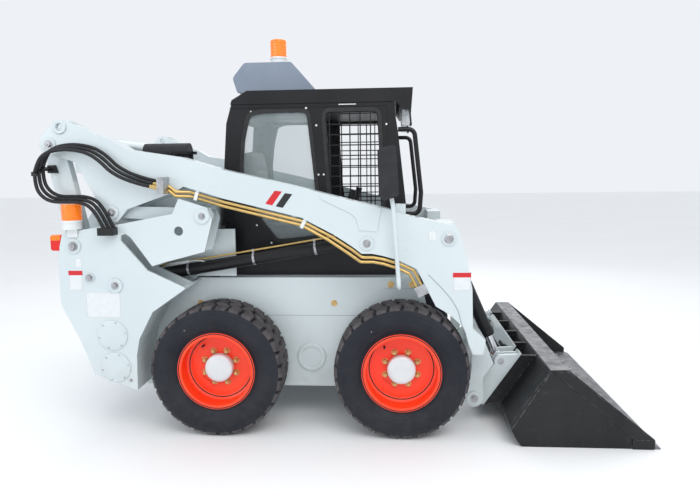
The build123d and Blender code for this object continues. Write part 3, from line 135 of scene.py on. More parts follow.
# -------- materials
class Shader:
    """A node material built around one Principled shader."""

    def __init__(self, name, colour, rough, metal=0.0, coat=0.0, shine=0.5):
        self.name = name
        self.material = bpy.data.materials.new(name)
        self.material.use_nodes = True
        self.material.diffuse_color = (*colour, 1.0)
        self.tree = self.material.node_tree
        self.shader = self.tree.nodes["Principled BSDF"]
        self.set("Base Color", (*colour, 1.0))
        self.set("Roughness", rough)
        self.set("Metallic", metal)
        self.set("Coat Weight", coat)
        self.set("Coat Roughness", 0.12)
        self.set("Specular IOR Level", shine)
        self.place = self.node("ShaderNodeTexCoord").outputs["Object"]

    def node(self, kind, inputs=None, **settings):
        """A new node, with the values of its inputs and its settings."""
        made = self.tree.nodes.new(kind)
        for key, value in settings.items():
            setattr(made, key, value)
        for key, value in (inputs or {}).items():
            made.inputs[key].default_value = value
        return made

    def set(self, name, value):
        self.shader.inputs[name].default_value = value

    def link(self, source, target):
        self.tree.links.new(source, target)

    def noise(self, scale, detail=4.0, stretch=None):
        """Noise in the object's own place, stretched along its axes if asked."""
        texture = self.node("ShaderNodeTexNoise", {"Scale": scale, "Detail": detail})
        place = self.place
        if stretch:
            mapping = self.node("ShaderNodeMapping", {"Scale": stretch})
            self.link(place, mapping.inputs["Vector"])
            place = mapping.outputs["Vector"]
        self.link(place, texture.inputs["Vector"])
        return texture.outputs["Fac"]

    def ramp(self, source, low, high, from_value=0.0, to_value=1.0):
        """Turns source from low to high into from_value to to_value."""
        span = self.node("ShaderNodeMapRange", {
            "From Min": low, "From Max": high, "To Min": from_value, "To Max": to_value,
        })
        self.link(source, span.inputs["Value"])
        return span.outputs["Result"]

    def multiply(self, first, second):
        product = self.node("ShaderNodeMath", operation="MULTIPLY")
        self.link(first, product.inputs[0])
        self.link(second, product.inputs[1])
        return product.outputs["Value"]

    def over(self, colour, amount):
        """Lays a colour over the base colour, by amount from 0 to 1."""
        base = self.shader.inputs["Base Color"]
        mix = self.node("ShaderNodeMix", data_type="RGBA")
        mix.inputs["A"].default_value = base.default_value
        mix.inputs["B"].default_value = (*colour, 1.0)
        if base.links:
            self.link(base.links[0].from_socket, mix.inputs["A"])
        self.link(amount, mix.inputs["Factor"])
        self.link(mix.outputs["Result"], base)
        return self

    def mottle(self, colour, scale, low=0.35, high=0.7, strength=1.0, stretch=None):
        """Patches of a second colour."""
        return self.over(colour, self.ramp(self.noise(scale, 6.0, stretch), low, high, 0.0, strength))

    def dust(self, colour, floor_z, top_z, strength, scale=9.0):
        """Dust that fades out from floor_z up to top_z, in metres."""
        split = self.node("ShaderNodeSeparateXYZ")
        self.link(self.place, split.inputs["Vector"])
        height = self.ramp(split.outputs["Z"], floor_z, top_z, strength, 0.0)
        patch = self.ramp(self.noise(scale, 8.0), 0.3, 0.72)
        return self.over(colour, self.multiply(height, patch))

    def uneven_gloss(self, scale, low, high):
        """Roughness that wanders between low and high."""
        self.link(self.ramp(self.noise(scale), 0.3, 0.7, low, high), self.shader.inputs["Roughness"])
        return self

    def relief(self, scale, strength, distance=0.001, detail=5.0, edge=0.0):
        """Small relief, with the edges of the mesh softened over edge metres."""
        bump = self.node("ShaderNodeBump", {"Strength": strength, "Distance": distance})
        self.link(self.noise(scale, detail), bump.inputs["Height"])
        if edge:
            soft = self.node("ShaderNodeBevel", {"Radius": edge}, samples=4)
            self.link(soft.outputs["Normal"], bump.inputs["Normal"])
        self.link(bump.outputs["Normal"], self.shader.inputs["Normal"])
        return self

    def worn_edges(self, colour, radius, amount=0.8):
        """Bare metal where the surface turns sharply, broken up by noise."""
        soft = self.node("ShaderNodeBevel", {"Radius": radius}, samples=4)
        flat = self.node("ShaderNodeNewGeometry")
        dot = self.node("ShaderNodeVectorMath", operation="DOT_PRODUCT")
        self.link(soft.outputs["Normal"], dot.inputs[0])
        self.link(flat.outputs["Normal"], dot.inputs[1])
        edge = self.ramp(dot.outputs["Value"], 0.99, 0.9)
        patch = self.ramp(self.noise(38.0, 8.0), 0.42, 0.62, 0.0, amount)
        return self.over(colour, self.multiply(edge, patch))


def make_materials():
    made = {}

    def add(shader):
        made[shader.name] = shader.material

    add(Shader("body_white", (0.60, 0.67, 0.69), 0.3, coat=0.5)
        .mottle((0.555, 0.63, 0.655), 1.3)
        .dust((0.40, 0.39, 0.36), 0.15, 0.75, 0.35)
        .uneven_gloss(3.0, 0.26, 0.38)
        .relief(260.0, 0.05, edge=0.0025))
    add(Shader("frame_black", (0.01, 0.0105, 0.012), 0.45, coat=0.06, shine=0.3)
        .mottle((0.018, 0.0185, 0.02), 6.0)
        .dust((0.12, 0.11, 0.1), 0.0, 0.7, 0.3)
        .relief(190.0, 0.12, edge=0.002))
    add(Shader("cab_black", (0.007, 0.007, 0.0085), 0.42, coat=0.06, shine=0.28)
        .mottle((0.012, 0.012, 0.0145), 4.0)
        .uneven_gloss(5.0, 0.36, 0.5)
        .relief(340.0, 0.1, edge=0.0025))
    add(Shader("black_plastic", (0.014, 0.0145, 0.018), 0.55, shine=0.35)
        .mottle((0.022, 0.0225, 0.026), 20.0).relief(900.0, 0.25, 0.0006, edge=0.0025))
    add(Shader("bucket_black", (0.0075, 0.008, 0.0095), 0.4, coat=0.08, shine=0.3)
        .mottle((0.016, 0.0165, 0.018), 5.0)
        .mottle((0.05, 0.047, 0.042), 26.0, 0.62, 0.8, 0.5)
        .worn_edges((0.33, 0.33, 0.34), 0.004)
        .uneven_gloss(7.0, 0.3, 0.55)
        .relief(150.0, 0.15, edge=0.0025))
    add(Shader("worn_steel", (0.26, 0.26, 0.27), 0.38, metal=0.85)
        .mottle((0.08, 0.075, 0.07), 14.0, 0.4, 0.75, 0.8)
        .uneven_gloss(22.0, 0.3, 0.6)
        .relief(230.0, 0.3, edge=0.002))
    add(Shader("rim", (1.0, 0.038, 0.003), 0.4, coat=0.15)
        .mottle((0.95, 0.06, 0.006), 5.0)
        .dust((0.45, 0.12, 0.06), 0.05, 0.5, 0.2, 16.0)
        .relief(210.0, 0.06, edge=0.0025))
    add(Shader("hub_white", (0.66, 0.7, 0.72), 0.35, coat=0.3)
        .mottle((0.6, 0.64, 0.66), 14.0).relief(300.0, 0.08, edge=0.002))
    add(Shader("tyre", (0.009, 0.011, 0.0175), 0.6, shine=0.3)
        .mottle((0.016, 0.0185, 0.026), 7.0)
        .dust((0.06, 0.058, 0.056), 0.0, 0.5, 0.3, 22.0)
        .uneven_gloss(9.0, 0.52, 0.72)
        .relief(420.0, 0.3, 0.0008, edge=0.0025))
    add(Shader("tread", (0.04, 0.037, 0.042), 0.74, shine=0.35)
        .mottle((0.1, 0.088, 0.092), 14.0)
        .dust((0.15, 0.14, 0.125), 0.0, 0.85, 0.4, 25.0)
        .relief(380.0, 0.35, 0.0008, edge=0.003))
    add(Shader("brass", (0.72, 0.5, 0.22), 0.32, metal=0.9)
        .mottle((0.5, 0.34, 0.15), 60.0).relief(500.0, 0.1, edge=0.001))
    add(Shader("pipe_gold", (0.62, 0.43, 0.16), 0.3, metal=0.85)
        .mottle((0.42, 0.3, 0.12), 18.0, 0.45, 0.8, 0.8).relief(420.0, 0.08, edge=0.001))
    add(Shader("rod_chrome", (0.66, 0.67, 0.69), 0.14, metal=1.0)
        .mottle((0.5, 0.51, 0.53), 9.0, 0.45, 0.8, 0.5, (1, 1, 12)).relief(600.0, 0.03))
    add(Shader("zinc", (0.5, 0.51, 0.53), 0.36, metal=0.9)
        .mottle((0.34, 0.34, 0.35), 40.0).relief(420.0, 0.12, edge=0.001))
    add(Shader("hose_rubber", (0.009, 0.009, 0.011), 0.5, shine=0.35)
        .mottle((0.032, 0.032, 0.036), 120.0, 0.5, 0.65, 0.8).relief(700.0, 0.5, 0.001))
    add(Shader("seal_rubber", (0.009, 0.009, 0.01), 0.66)
        .mottle((0.018, 0.018, 0.02), 30.0).relief(500.0, 0.15))
    add(Shader("seat_vinyl", (0.018, 0.018, 0.02), 0.5)
        .mottle((0.03, 0.03, 0.032), 14.0).relief(260.0, 0.45, 0.0012))
    add(Shader("hump_grey", (0.19, 0.235, 0.31), 0.5)
        .mottle((0.235, 0.28, 0.35), 3.0)
        .uneven_gloss(6.0, 0.44, 0.58)
        .relief(520.0, 0.3, 0.0007, edge=0.004))
    add(Shader("white_plastic", (0.74, 0.77, 0.78), 0.35)
        .mottle((0.68, 0.71, 0.72), 24.0).relief(300.0, 0.05, edge=0.0015))
    add(Shader("label", (0.70, 0.73, 0.745), 0.42)
        .mottle((0.65, 0.68, 0.7), 30.0).relief(300.0, 0.04))
    add(Shader("label_ink", (0.38, 0.42, 0.46), 0.5)
        .mottle((0.45, 0.49, 0.52), 50.0).relief(300.0, 0.04))
    add(Shader("signal_red", (0.62, 0.012, 0.02), 0.35)
        .mottle((0.52, 0.016, 0.02), 30.0).relief(300.0, 0.04))
    add(Shader("ink_black", (0.012, 0.012, 0.014), 0.38)
        .mottle((0.02, 0.02, 0.022), 30.0).relief(300.0, 0.04))
    add(Shader("seam", (0.33, 0.37, 0.39), 0.6)
        .mottle((0.25, 0.28, 0.3), 20.0).relief(200.0, 0.1))
    add(Shader("engine_iron", (0.05, 0.05, 0.052), 0.6, metal=0.3)
        .mottle((0.11, 0.105, 0.1), 12.0).relief(110.0, 0.6, 0.002, edge=0.004))
    add(Shader("wire_white", (0.62, 0.65, 0.66), 0.45)
        .mottle((0.5, 0.52, 0.53), 60.0).relief(400.0, 0.1))
    for name, colour, inner, glow in (
        ("amber", (1.0, 0.30, 0.012), 0.45, 0.18),
        ("red_lamp", (0.75, 0.012, 0.01), 0.35, 0.18),
        ("lamp_clear", (0.82, 0.86, 0.9), 0.3, 0.0),
    ):
        lens = Shader(name, colour, 0.12, coat=0.4).mottle(tuple(0.8 * c for c in colour), 30.0)
        lens.set("Transmission Weight", inner)
        lens.set("Emission Color", (*colour, 1.0))
        lens.set("Emission Strength", glow)
        add(lens.relief(240.0, 0.08))
    pane = Shader("glass", (0.62, 0.72, 0.74), 0.04, shine=0.7).mottle((0.5, 0.6, 0.62), 2.0)
    pane.set("Alpha", 0.2)
    add(pane.relief(3.0, 0.03))
    add(Shader("mirror_glass", (0.7, 0.73, 0.75), 0.05, metal=1.0)
        .mottle((0.66, 0.69, 0.71), 3.0).relief(3.0, 0.02))
    add(Shader("floor", (0.9, 0.91, 0.92), 0.75)
        .mottle((0.88, 0.89, 0.9), 0.8).relief(60.0, 0.03))
    return made


MATERIALS = make_materials()
NODE_LOOKS = {
    "body_white": (
        "chassis", "upright_right", "upright_left", "engine_deck", "hood", "rear_links", "control_links",
        "arm_right", "arm_left", "arm_cross_tube", "quick_attach", "rear_guard", "mirror_poles",
    ),
    "frame_black": ("axle_housings", "tailgate", "door_hinge", "lock_levers", "hose_clamps", "hose_blocks"),
    "cab_black": (
        "cab_shell", "roof", "exhaust_stack", "grab_handles", "lap_bar", "seat_base",
        "lift_barrels", "tilt_barrels", "window_mesh",
    ),
    "black_plastic": ("air_cleaner", "consoles", "control_levers", "mirror_heads"),
    "bucket_black": ("bucket",),
    "worn_steel": ("cutting_edge",),
    "rim": ("rim_front_right", "rim_front_left", "rim_rear_right", "rim_rear_left"),
    "rod_chrome": ("lift_rods", "tilt_rods"),
    "pipe_gold": ("arm_pipes",),
    "hump_grey": ("roof_unit",),
    "amber": ("beacon_lenses",),
    "white_plastic": ("beacon_bases",),
    "red_lamp": ("tail_lamps",),
    "lamp_clear": ("work_lamps",),
    "glass": ("side_glass", "rear_glass"),
    "engine_iron": ("engine",),
}
for look, nodes in NODE_LOOKS.items():
    for node in nodes:
        for holder in NODES[node].material_slots:
            holder.material = MATERIALS[look]


# -------- mesh helpers
WASHER_R = 1.45  # a bolt's washer, head and end, as shares of the head's radius
WASHER_T = 0.22
HEAD_T = 0.75
SET_IN = 0.5  # how deep a plate's back is set into the face that it lies on
BEVEL_FROM = radians(35)  # turns of the surface from which an edge is bevelled, and is kept sharp
SHARP_FROM = radians(34)


def piece(name, mesh, look, body, bevel=0.0, smooth=True, segments=2, slot=None):
    """Links a mesh as a piece that rides on a body."""
    data = bpy.data.meshes.new(name)
    bmesh.ops.recalc_face_normals(mesh, faces=mesh.faces)
    mesh.to_mesh(data)
    mesh.free()
    made = bpy.data.objects.new(name, data)
    scene.collection.objects.link(made)
    data.materials.append(MATERIALS[look])
    if bevel:
        cut = made.modifiers.new("edges", "BEVEL")
        cut.width = bevel / 1000
        cut.segments = segments
        cut.limit_method = "ANGLE"
        cut.angle_limit = BEVEL_FROM
    if smooth:
        for face in data.polygons:
            face.use_smooth = True
        data.set_sharp_from_angle(angle=SHARP_FROM)
    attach(made, body)
    return made


def bridge(mesh, low, high):
    """Joins two rings of as many points by a band of faces."""
    for i in range(len(low)):
        j = (i + 1) % len(low)
        mesh.faces.new((low[i], high[i], high[j], low[j]))


def close(mesh, rings):
    """Caps a chain of rings and joins each to the next."""
    mesh.faces.new(rings[0])
    mesh.faces.new(list(reversed(rings[-1])))
    for low, high in zip(rings, rings[1:]):
        bridge(mesh, low, high)


def ring(mesh, centre, first, second, radius, sides):
    """A ring of points in the plane of two directions, radius in millimetres."""
    turns = [tau * i / sides for i in range(sides)]
    return [mesh.verts.new(centre + (first * cos(t) + second * sin(t)) * radius / 1000) for t in turns]


def around(mesh, centre, axis, radius, sides):
    """A ring of points round an axis."""
    first = axis.orthogonal().normalized()
    return ring(mesh, centre, first, axis.cross(first), radius, sides)


def prism(mesh, outline, y_low, y_high):
    """A side-view outline, extruded from y_low to y_high."""
    close(mesh, [[mesh.verts.new(at(x, y, z)) for x, z in outline] for y in (y_low, y_high)])


def disc(mesh, centre, axis, radius, height, sides=24, top=None):
    """A short cylinder or cone standing on centre along axis, sizes in millimetres."""
    axis = Vector(axis).normalized()
    top = radius if top is None else top
    foot_ring = around(mesh, centre, axis, radius, sides)
    close(mesh, [foot_ring, around(mesh, centre + axis * height / 1000, axis, top, sides)])


def bolt(mesh, centre, axis, radius):
    """A washer and a hexagon head."""
    axis = Vector(axis).normalized()
    disc(mesh, centre, axis, radius * WASHER_R, radius * WASHER_T, 20)
    disc(mesh, centre + axis * radius * WASHER_T / 1000, axis, radius, radius * HEAD_T, 6)


def bolts(name, spots, body):
    """A piece of zinc bolts, each with its place, axis and radius."""
    mesh = bmesh.new()
    for place, axis, radius in spots:
        bolt(mesh, place, axis, radius)
    piece(name, mesh, "zinc", body, bevel=0.8, smooth=False, segments=1)


def dome_screw(mesh, centre, axis, radius):
    """A low round head in two steps."""
    disc(mesh, centre, axis, radius, radius * 0.35, 16, radius * 0.92)
    disc(mesh, centre + axis * radius * 0.35 / 1000, axis, radius * 0.92, radius * 0.25, 16, radius * 0.5)


def revolve(mesh, centre, axis, profile, sides=64):
    """Turns (radius, height along axis) points round an axis; radius 0 closes an end."""
    axis = Vector(axis).normalized()
    rings = []
    for radius, height in profile:
        place = centre + axis * height / 1000
        rings.append(around(mesh, place, axis, radius, sides) if radius else [mesh.verts.new(place)])
    for low, high in zip(rings, rings[1:]):
        for i in range(sides):
            j = (i + 1) % sides
            corners = [low[i % len(low)], low[j % len(low)], high[j % len(high)], high[i % len(high)]]
            unique = list(dict.fromkeys(corners))
            if len(unique) > 2:
                mesh.faces.new(unique)


def ridges(value, centres, half, height):
    """Height at value of narrow ridges round some centres."""
    return sum(height * max(0.0, 1 - abs(value - centre) / half) for centre in centres)


def rectangle(x, z, width, height):
    return ((x, z), (x + width, z), (x + width, z + height), (x, z + height))


def prisms(name, parts, look, body, side=1, smooth=False, **finish):
    """A piece of several side-view outlines, each with its span outward from the middle plane."""
    mesh = bmesh.new()
    for outline, low, high in parts:
        prism(mesh, outline, side * low, side * high)
    return piece(name, mesh, look, body, smooth=smooth, **finish)


def plate(name, outline, face, thick, look, body, side, **finish):
    """A side-view outline standing thick proud of a face on one side of the machine."""
    return prisms(name, [(outline, face - SET_IN, face + thick)], look, body, side, **finish)


def turned(name, parts, look, body, **finish):
    """A piece of several revolved profiles: centre, axis, profile, sides."""
    mesh = bmesh.new()
    for centre, axis, profile, sides in parts:
        revolve(mesh, centre, axis, profile, sides)
    return piece(name, mesh, look, body, **finish)


def route_spline(data, points, smooth=True):
    """Adds a route to a curve: a smooth line that keeps the route's ends, or straight runs."""
    data.dimensions = "3D"
    spline = data.splines.new("NURBS" if smooth else "POLY")
    spline.points.add(len(points) - 1)
    for point, place in zip(spline.points, points):
        point.co = (*place, 1.0)
    if smooth:
        spline.order_u = 3
        spline.use_endpoint_u = True


def line_piece(name, points, radius, look, body, smooth=True):
    """A round line along points of the frame, radius in millimetres."""
    data = bpy.data.curves.new(name, "CURVE")
    data.bevel_depth = radius / 1000
    data.bevel_resolution = 4
    data.resolution_u = 8
    data.use_fill_caps = True
    route_spline(data, points, smooth)
    data.materials.append(MATERIALS[look])
    made = bpy.data.objects.new(name, data)
    scene.collection.objects.link(made)
    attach(made, body)


# -------- hydraulic hoses
HOSE_COUNT = 3  # on each side
HOSE_R = 10.0
HOSE_OUT = 884.0  # outermost hose, from the middle plane
HOSE_PITCH = 21.0
HOSE_STEP = (12.0, 14.0)  # how far each hose lies forward of and above the one outside it
# From the block on the arm over the top to the clamp behind the rear link
UPPER_ROUTE = (
    (-835, 1452), (-1013, 1491), (-1143, 1629), (-1279, 1662), (-1400, 1650), (-1460, 1605), (-1483, 1535),
)
# From that clamp forward to the side plate
LOWER_ROUTE = (
    (-1484, 1515), (-1484, 1456), (-1454, 1404), (-1402, 1374), (-1330, 1371), (-1240, 1372),
    (-1165, 1338), (-1128, 1262),
)
# CAD node, route, the bodies that its last and its first point are on
HOSES = (
    ("hoses_upper", UPPER_ROUTE, "rear_links", "arms"),
    ("hoses_lower", LOWER_ROUTE, "frame", "rear_links"),
)


def hose_points(route, index, side):
    y = side * (HOSE_OUT - index * HOSE_PITCH)
    return [at(x + index * HOSE_STEP[0], y, z + index * HOSE_STEP[1]) for x, z in route]


def spline_line(points):
    """The smooth line of a route, as a chain of points read from its spline."""
    data = bpy.data.curves.new("route", "CURVE")
    data.resolution_u = 10
    route_spline(data, points)
    holder = bpy.data.objects.new("route", data)
    mesh = bpy.data.meshes.new_from_object(holder)
    line = [vertex.co.copy() for vertex in mesh.vertices]
    bpy.data.meshes.remove(mesh)
    bpy.data.objects.remove(holder)
    bpy.data.curves.remove(data)
    return line


def tube_mesh(name, line, radius, sides=14):
    """A smooth closed tube round a chain of points."""
    mesh = bmesh.new()
    normal = (line[1] - line[0]).orthogonal().normalized()
    rings = []
    for i, place in enumerate(line):
        direction = (line[min(i + 1, len(line) - 1)] - line[max(i - 1, 0)]).normalized()
        normal = (normal - direction * normal.dot(direction)).normalized()
        rings.append(ring(mesh, place, normal, direction.cross(normal), radius, sides))
    close(mesh, rings)
    for face in mesh.faces:
        face.smooth = True
    data = bpy.data.meshes.new(name)
    mesh.to_mesh(data)
    mesh.free()
    data.materials.append(MATERIALS["hose_rubber"])
    return data


def add_hose(node, route, hand, side, index):
    points = hose_points(route, index, side)
    line = spline_line(points)
    name = f"{node}_{hand}_{index}"
    hose = bpy.data.objects.new(name, tube_mesh(name, line, HOSE_R))
    scene.collection.objects.link(hose)
    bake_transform(hose)
    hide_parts(node)


for node, route, last_body, first_body in HOSES:
    for hand, side in SIDES:
        for index in range(HOSE_COUNT):
            add_hose(node, route, hand, side, index)

# -------- floor
FLOOR_HALF = 40.0  # metres
FLOOR_GAP = 0.0005
floor_mesh = bmesh.new()
bmesh.ops.create_grid(floor_mesh, x_segments=1, y_segments=1, size=FLOOR_HALF)
floor_data = bpy.data.meshes.new("floor")
floor_mesh.to_mesh(floor_data)
floor_mesh.free()
floor_data.materials.append(MATERIALS["floor"])
floor = bpy.data.objects.new("floor", floor_data)
floor.location.z = -FLOOR_GAP
scene.collection.objects.link(floor)

# -------- wheels
TREAD_R = 372.0  # between the lugs
TREAD_HALF = 108.0
BORE_R = 211.0
BEAD_R = 234.0
BEAD_HALF = 104.0
# Outer wall: its curve through three (radius, width) points, fine ribs and a thicker rim guard
WALL_ARC = ((236, 104), (295, 132), (368, 122))
WALL_STEPS = 44
RIB_RADII = (251.0, 262.0, 343.0)
RIB_HEIGHT = 1.6
RIB_HALF = 3.4
GUARD = (276.0, 330.0, 2.2)  # inner radius, outer radius, height
LUG_PITCHES = 30
SHOULDER = 100.0  # where every other lug's root starts to rise, and by how much
SHALLOW = 9.0
# Sections of a lug from the middle of the tread out to the shoulder: width out, turn in degrees,
# half width at the top and at the root, top radius, root radius
LUG_SECTIONS = (
    (3.0, 4.4, 15.0, 18.0, 386.6, 371.0),
    (26.0, 3.4, 30.5, 33.0, 387.0, 371.0),
    (60.0, -0.6, 31.0, 33.5, 387.0, 371.0),
    (78.0, -1.6, 31.0, 33.5, 386.6, 370.0),
    (92.0, -1.0, 30.0, 33.0, 386.0, 366.0),
    (112.0, -0.4, 29.0, 32.0, 383.0, 358.0),
    (123.5, -0.2, 27.0, 31.0, 371.0, 346.0),
)
# Heights outward from the wheel's middle plane, and profiles of (radius, height)
RIM_FACE = 8.0
HUB_FOOT = 16.0
HUB_CAP = ((82, 0), (82.5, 34), (80.5, 41), (76, 45), (60, 48.5), (30, 50.5), (0, 51))
NUT_COUNT = 8
NUT_RING = 101.5
NUT = ((18.5, 0), (18.5, 3.5), (14.6, 3.6), (14.6, 17), (11.5, 21.5), (8, 21.6), (8, 28), (6, 30), (0, 30))
DISC_GROOVE = (13.0, ((184, 0), (187, 1.4), (190, 0.6)))
FLANGE_GROOVE = (113.0, ((222.5, 0), (221, 1.3), (217, 0.4)))
VALVE_AT = (158.0, radians(128), 13.0)  # radius, angle, height
VALVE = ((7, 0), (7, 4), (4, 5), (4, 22), (5, 22.5), (5, 32), (0, 33))
MARK_FACE = 133.0
PAINT_DABS = ((radians(124), 302, 7), (radians(127), 305, 5))  # angle, radius, size
WHEELS = (
    ("front_right", FRONT_AXLE, -1), ("front_left", FRONT_AXLE, 1),
    ("rear_right", REAR_AXLE, -1), ("rear_left", REAR_AXLE, 1),
)


def arc_points(*through, count):
    """Points on the circle through three (a, b) points, from the first to the third."""
    first, second, third = (complex(*point) for point in through)
    ratio = (third - first) / (second - first)
    centre = first + (second - first) * (ratio - abs(ratio) ** 2) / (ratio - ratio.conjugate())
    turn = phase((third - centre) / (first - centre))
    spots = [centre + (first - centre) * rect(1, turn * i / count) for i in range(count + 1)]
    return [(spot.real, spot.imag) for spot in spots]


def sidewall():
    """The tyre's outer wall as (radius, width)."""
    guard_in, guard_out, guard_height = GUARD
    wall = []
    for radius, width in arc_points(*WALL_ARC, count=WALL_STEPS):
        width += ridges(radius, RIB_RADII, RIB_HALF, RIB_HEIGHT)
        wall.append((radius, width + (guard_height if guard_in < radius < guard_out else 0.0)))
    return wall


def wheel_point(axle, side, radius, angle, width):
    """Radius and angle (from forward, turning up) round a wheel, width outward of its middle plane."""
    return Vector((
        axle.x + radius * cos(angle) / 1000,
        side * (TRACK_HALF + width) / 1000,
        axle.z + radius * sin(angle) / 1000,
    ))


def add_lug(mesh, axle, side, row, angle, shallow):
    """One lug of the outer row (1) or the inner row (-1)."""
    rings = []
    for width, turn, top_half, root_half, top_r, root_r in LUG_SECTIONS:
        if width > SHOULDER and shallow:
            root_r += SHALLOW
        centre = angle + row * radians(turn)
        corners = ((root_r, -root_half), (top_r, -top_half), (top_r, top_half), (root_r, root_half))
        rings.append([
            mesh.verts.new(wheel_point(axle, side, radius, centre + half / radius, row * width))
            for radius, half in corners
        ])
    close(mesh, rings)


def add_tyre(name, axle, side, body):
    centre = Vector((axle.x, side * TRACK_HALF / 1000, axle.z))
    wall = sidewall()
    outline = [
        (BORE_R, -BEAD_HALF), (BEAD_R, -BEAD_HALF), *((r, -w) for r, w in wall),
        (TREAD_R, -TREAD_HALF), (TREAD_R, TREAD_HALF), *reversed(wall),
        (BEAD_R, BEAD_HALF), (BORE_R, BEAD_HALF), (BORE_R, -BEAD_HALF),
    ]
    mesh = bmesh.new()
    revolve(mesh, centre, (0, side, 0), outline, 96)
    bmesh.ops.remove_doubles(mesh, verts=mesh.verts, dist=1e-6)
    carcass = piece(f"carcass_{name}", mesh, "tyre", body, slot="tyre")
    mesh = bmesh.new()
    for row, start in ((1, 0.0), (-1, pi / LUG_PITCHES)):
        for i in range(LUG_PITCHES):
            add_lug(mesh, axle, side, row, start + tau * i / LUG_PITCHES, i % 2 == 1)
    tread = piece(f"tread_{name}", mesh, "tread", body, bevel=2.2, smooth=False, segments=1, slot="tyre")
    for made in (carcass, tread):
        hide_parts("tyre_" + name)


def add_rim_details(name, axle, side, body):
    out = Vector((0, side, 0))

    def on_axle(height):
        return Vector((axle.x, side * (TRACK_HALF + height) / 1000, axle.z))

    hub = [(on_axle(HUB_FOOT), out, HUB_CAP, 48)]
    turned(f"hub_cap_{name}", hub, "hub_white", body, slot="white_plastic")
    turns = [tau * (i + 0.5) / NUT_COUNT for i in range(NUT_COUNT)]
    nuts = [(wheel_point(axle, side, NUT_RING, turn, RIM_FACE), out, NUT, 18) for turn in turns]
    turned(f"nuts_{name}", nuts, "brass", body)
    grooves = [(on_axle(height), out, profile, 64) for height, profile in (DISC_GROOVE, FLANGE_GROOVE)]
    turned(f"rim_groove_{name}", grooves, "seal_rubber", body)
    turned(f"valve_{name}", [(wheel_point(axle, side, *VALVE_AT), out, VALVE, 16)], "seal_rubber", body)
    mesh = bmesh.new()
    for angle, radius, size in PAINT_DABS:
        disc(mesh, wheel_point(axle, side, radius, angle, MARK_FACE), out, size, 1.6, 7)
    piece(f"paint_mark_{name}", mesh, "label", body, smooth=False, slot="body_white")


for name, axle, side in WHEELS:
    add_tyre(name, axle, side, "wheel_" + name)
    add_rim_details(name, axle, side, "wheel_" + name)

# -------- plates, bolts and labels on both sides
COVER_T = 6.0  # round covers stand this far out of the chassis and the uprights
RAISED_RIM = ((62, -0.5), (62, 3.5), (65, 5), (84, 5), (87, 3), (87.5, -6))
FLAT_RIM = ((0, 1.2), (85, 1.2), (88.5, -0.5), (89, -6))
# x, z, face's distance from the middle, radius of the ring of screws, rim's profile
COVERS = (
    (-1122, 603, UPRIGHT_OUT + COVER_T, 78, FLAT_RIM),
    (-1114, 413, UPRIGHT_OUT + COVER_T, 78, FLAT_RIM),
    (-12, 399, CHASSIS_HALF + COVER_T, 76, RAISED_RIM),
)
COVER_SCREWS = 6
BOSS_OUT = 838.0  # faces of the bosses on the upright, the arm and the arm's foot
ARM_BOSS_OUT = 814.0
LEG_BOSS_OUT = 648.0
RAIL_OUT = 553.3  # face of the chassis's front corner
# x, z, face's distance from the middle, radius, look, body
BOLTS = (
    (-1319, 1119, BOSS_OUT, 19, "zinc", "frame"), (-569, 1284, BOSS_OUT, 13, "zinc", "frame"),
    (-1088, 893, BOSS_OUT, 15, "zinc", "frame"), (-1235, 938, BOSS_OUT, 15, "zinc", "frame"),
    (-1028, 336, UPRIGHT_OUT, 7, "zinc", "frame"), (131, 733, CHASSIS_HALF, 13, "brass", "frame"),
    (-693, 733, CHASSIS_HALF, 13, "brass", "frame"), (473, 849, RAIL_OUT, 14, "brass", "frame"),
    (600, 849, RAIL_OUT, 14, "brass", "frame"), (-1435, 1691, ARM_BOSS_OUT, 17, "zinc", "arms"),
    (343, 1126, ARM_BOSS_OUT, 15, "zinc", "arms"), (-1093, 1308, ARM_BOSS_OUT, 15, "zinc", "arms"),
    (960, 186, LEG_BOSS_OUT, 17, "zinc", "arms"),
)
TILT_FOOT = (790, 1150)
TILT_EYE = (1125, 388)
EAR_OUT = 568.0  # outer face of the quick attach's ears
LABEL_T = 0.8
LABEL_LINE = 1.6  # width of the line round a label, and its distance from the edge
LABEL_EDGE = 3.0
BAND_HEIGHT = 26.0
# Blank labels: corner's x and z, width, height, face, whether it has a red band, body
LABELS = (
    ("warning_rear", -1360, 861, 82, 121, UPRIGHT_OUT, True, "frame"),
    ("data_plate", -1268, 704, 206, 150, UPRIGHT_OUT, False, "frame"),
    ("mark_rear", -1317, 995, 40, 58, UPRIGHT_OUT, False, "frame"),
    ("warning_arm", 814, 860, 99, 106, ARM_OUT, True, "arms"),
    ("mark_arm", 677, 1138, 49, 58, ARM_OUT, False, "arms"),
)
RED_STRIPE = ((-217, 1349), (-163, 1420), (-122, 1415), (-179, 1339))
BLACK_STRIPE = ((-159, 1334), (-106, 1406), (-65, 1400), (-120, 1325))
ARM_PANEL = ((89, 1402), (425, 1318), (400, 1189), (301, 1197), (282, 1264), (256, 1290), (88, 1372))
ARM_SEAM = ((680, 951), (785, 849), (849, 745), (858, 685), (890, 615))
LIFTING_EYE = (-1366, 1785)
EYE_RING = ((21, -2), (21, 9), (24, 11), (34, 11), (37, 8), (37, -2))
PIN_CAP = ((26, -1), (26, 4), (23, 6), (10, 6.6), (0, 6.6))
# Clips of the steel pipes: x, z, tilt in degrees; their plates: low, high, span outward
PIPE_CLIPS = ((-606, 1394, -17), (-9, 1234, -27))
CLIP_PLATES = ((-27, 27, 802, 808), (-27, -22, 778, 808), (22, 30, 778, 808))
CLIP_HALF = 10
CHASSIS_SEAMS = (rectangle(-600, 655, 1290, 3), rectangle(433, 822, 208, 3))
CHASSIS_EDGE = ((640, 657), (700, 657), (648, 888), (588, 888))
REAR_BLOCK = rectangle(-792, 1410, 38, 92)
LEG_BLOCK = ((659.5, 902), (602, 874), (628.6, 820.5), (685, 849))


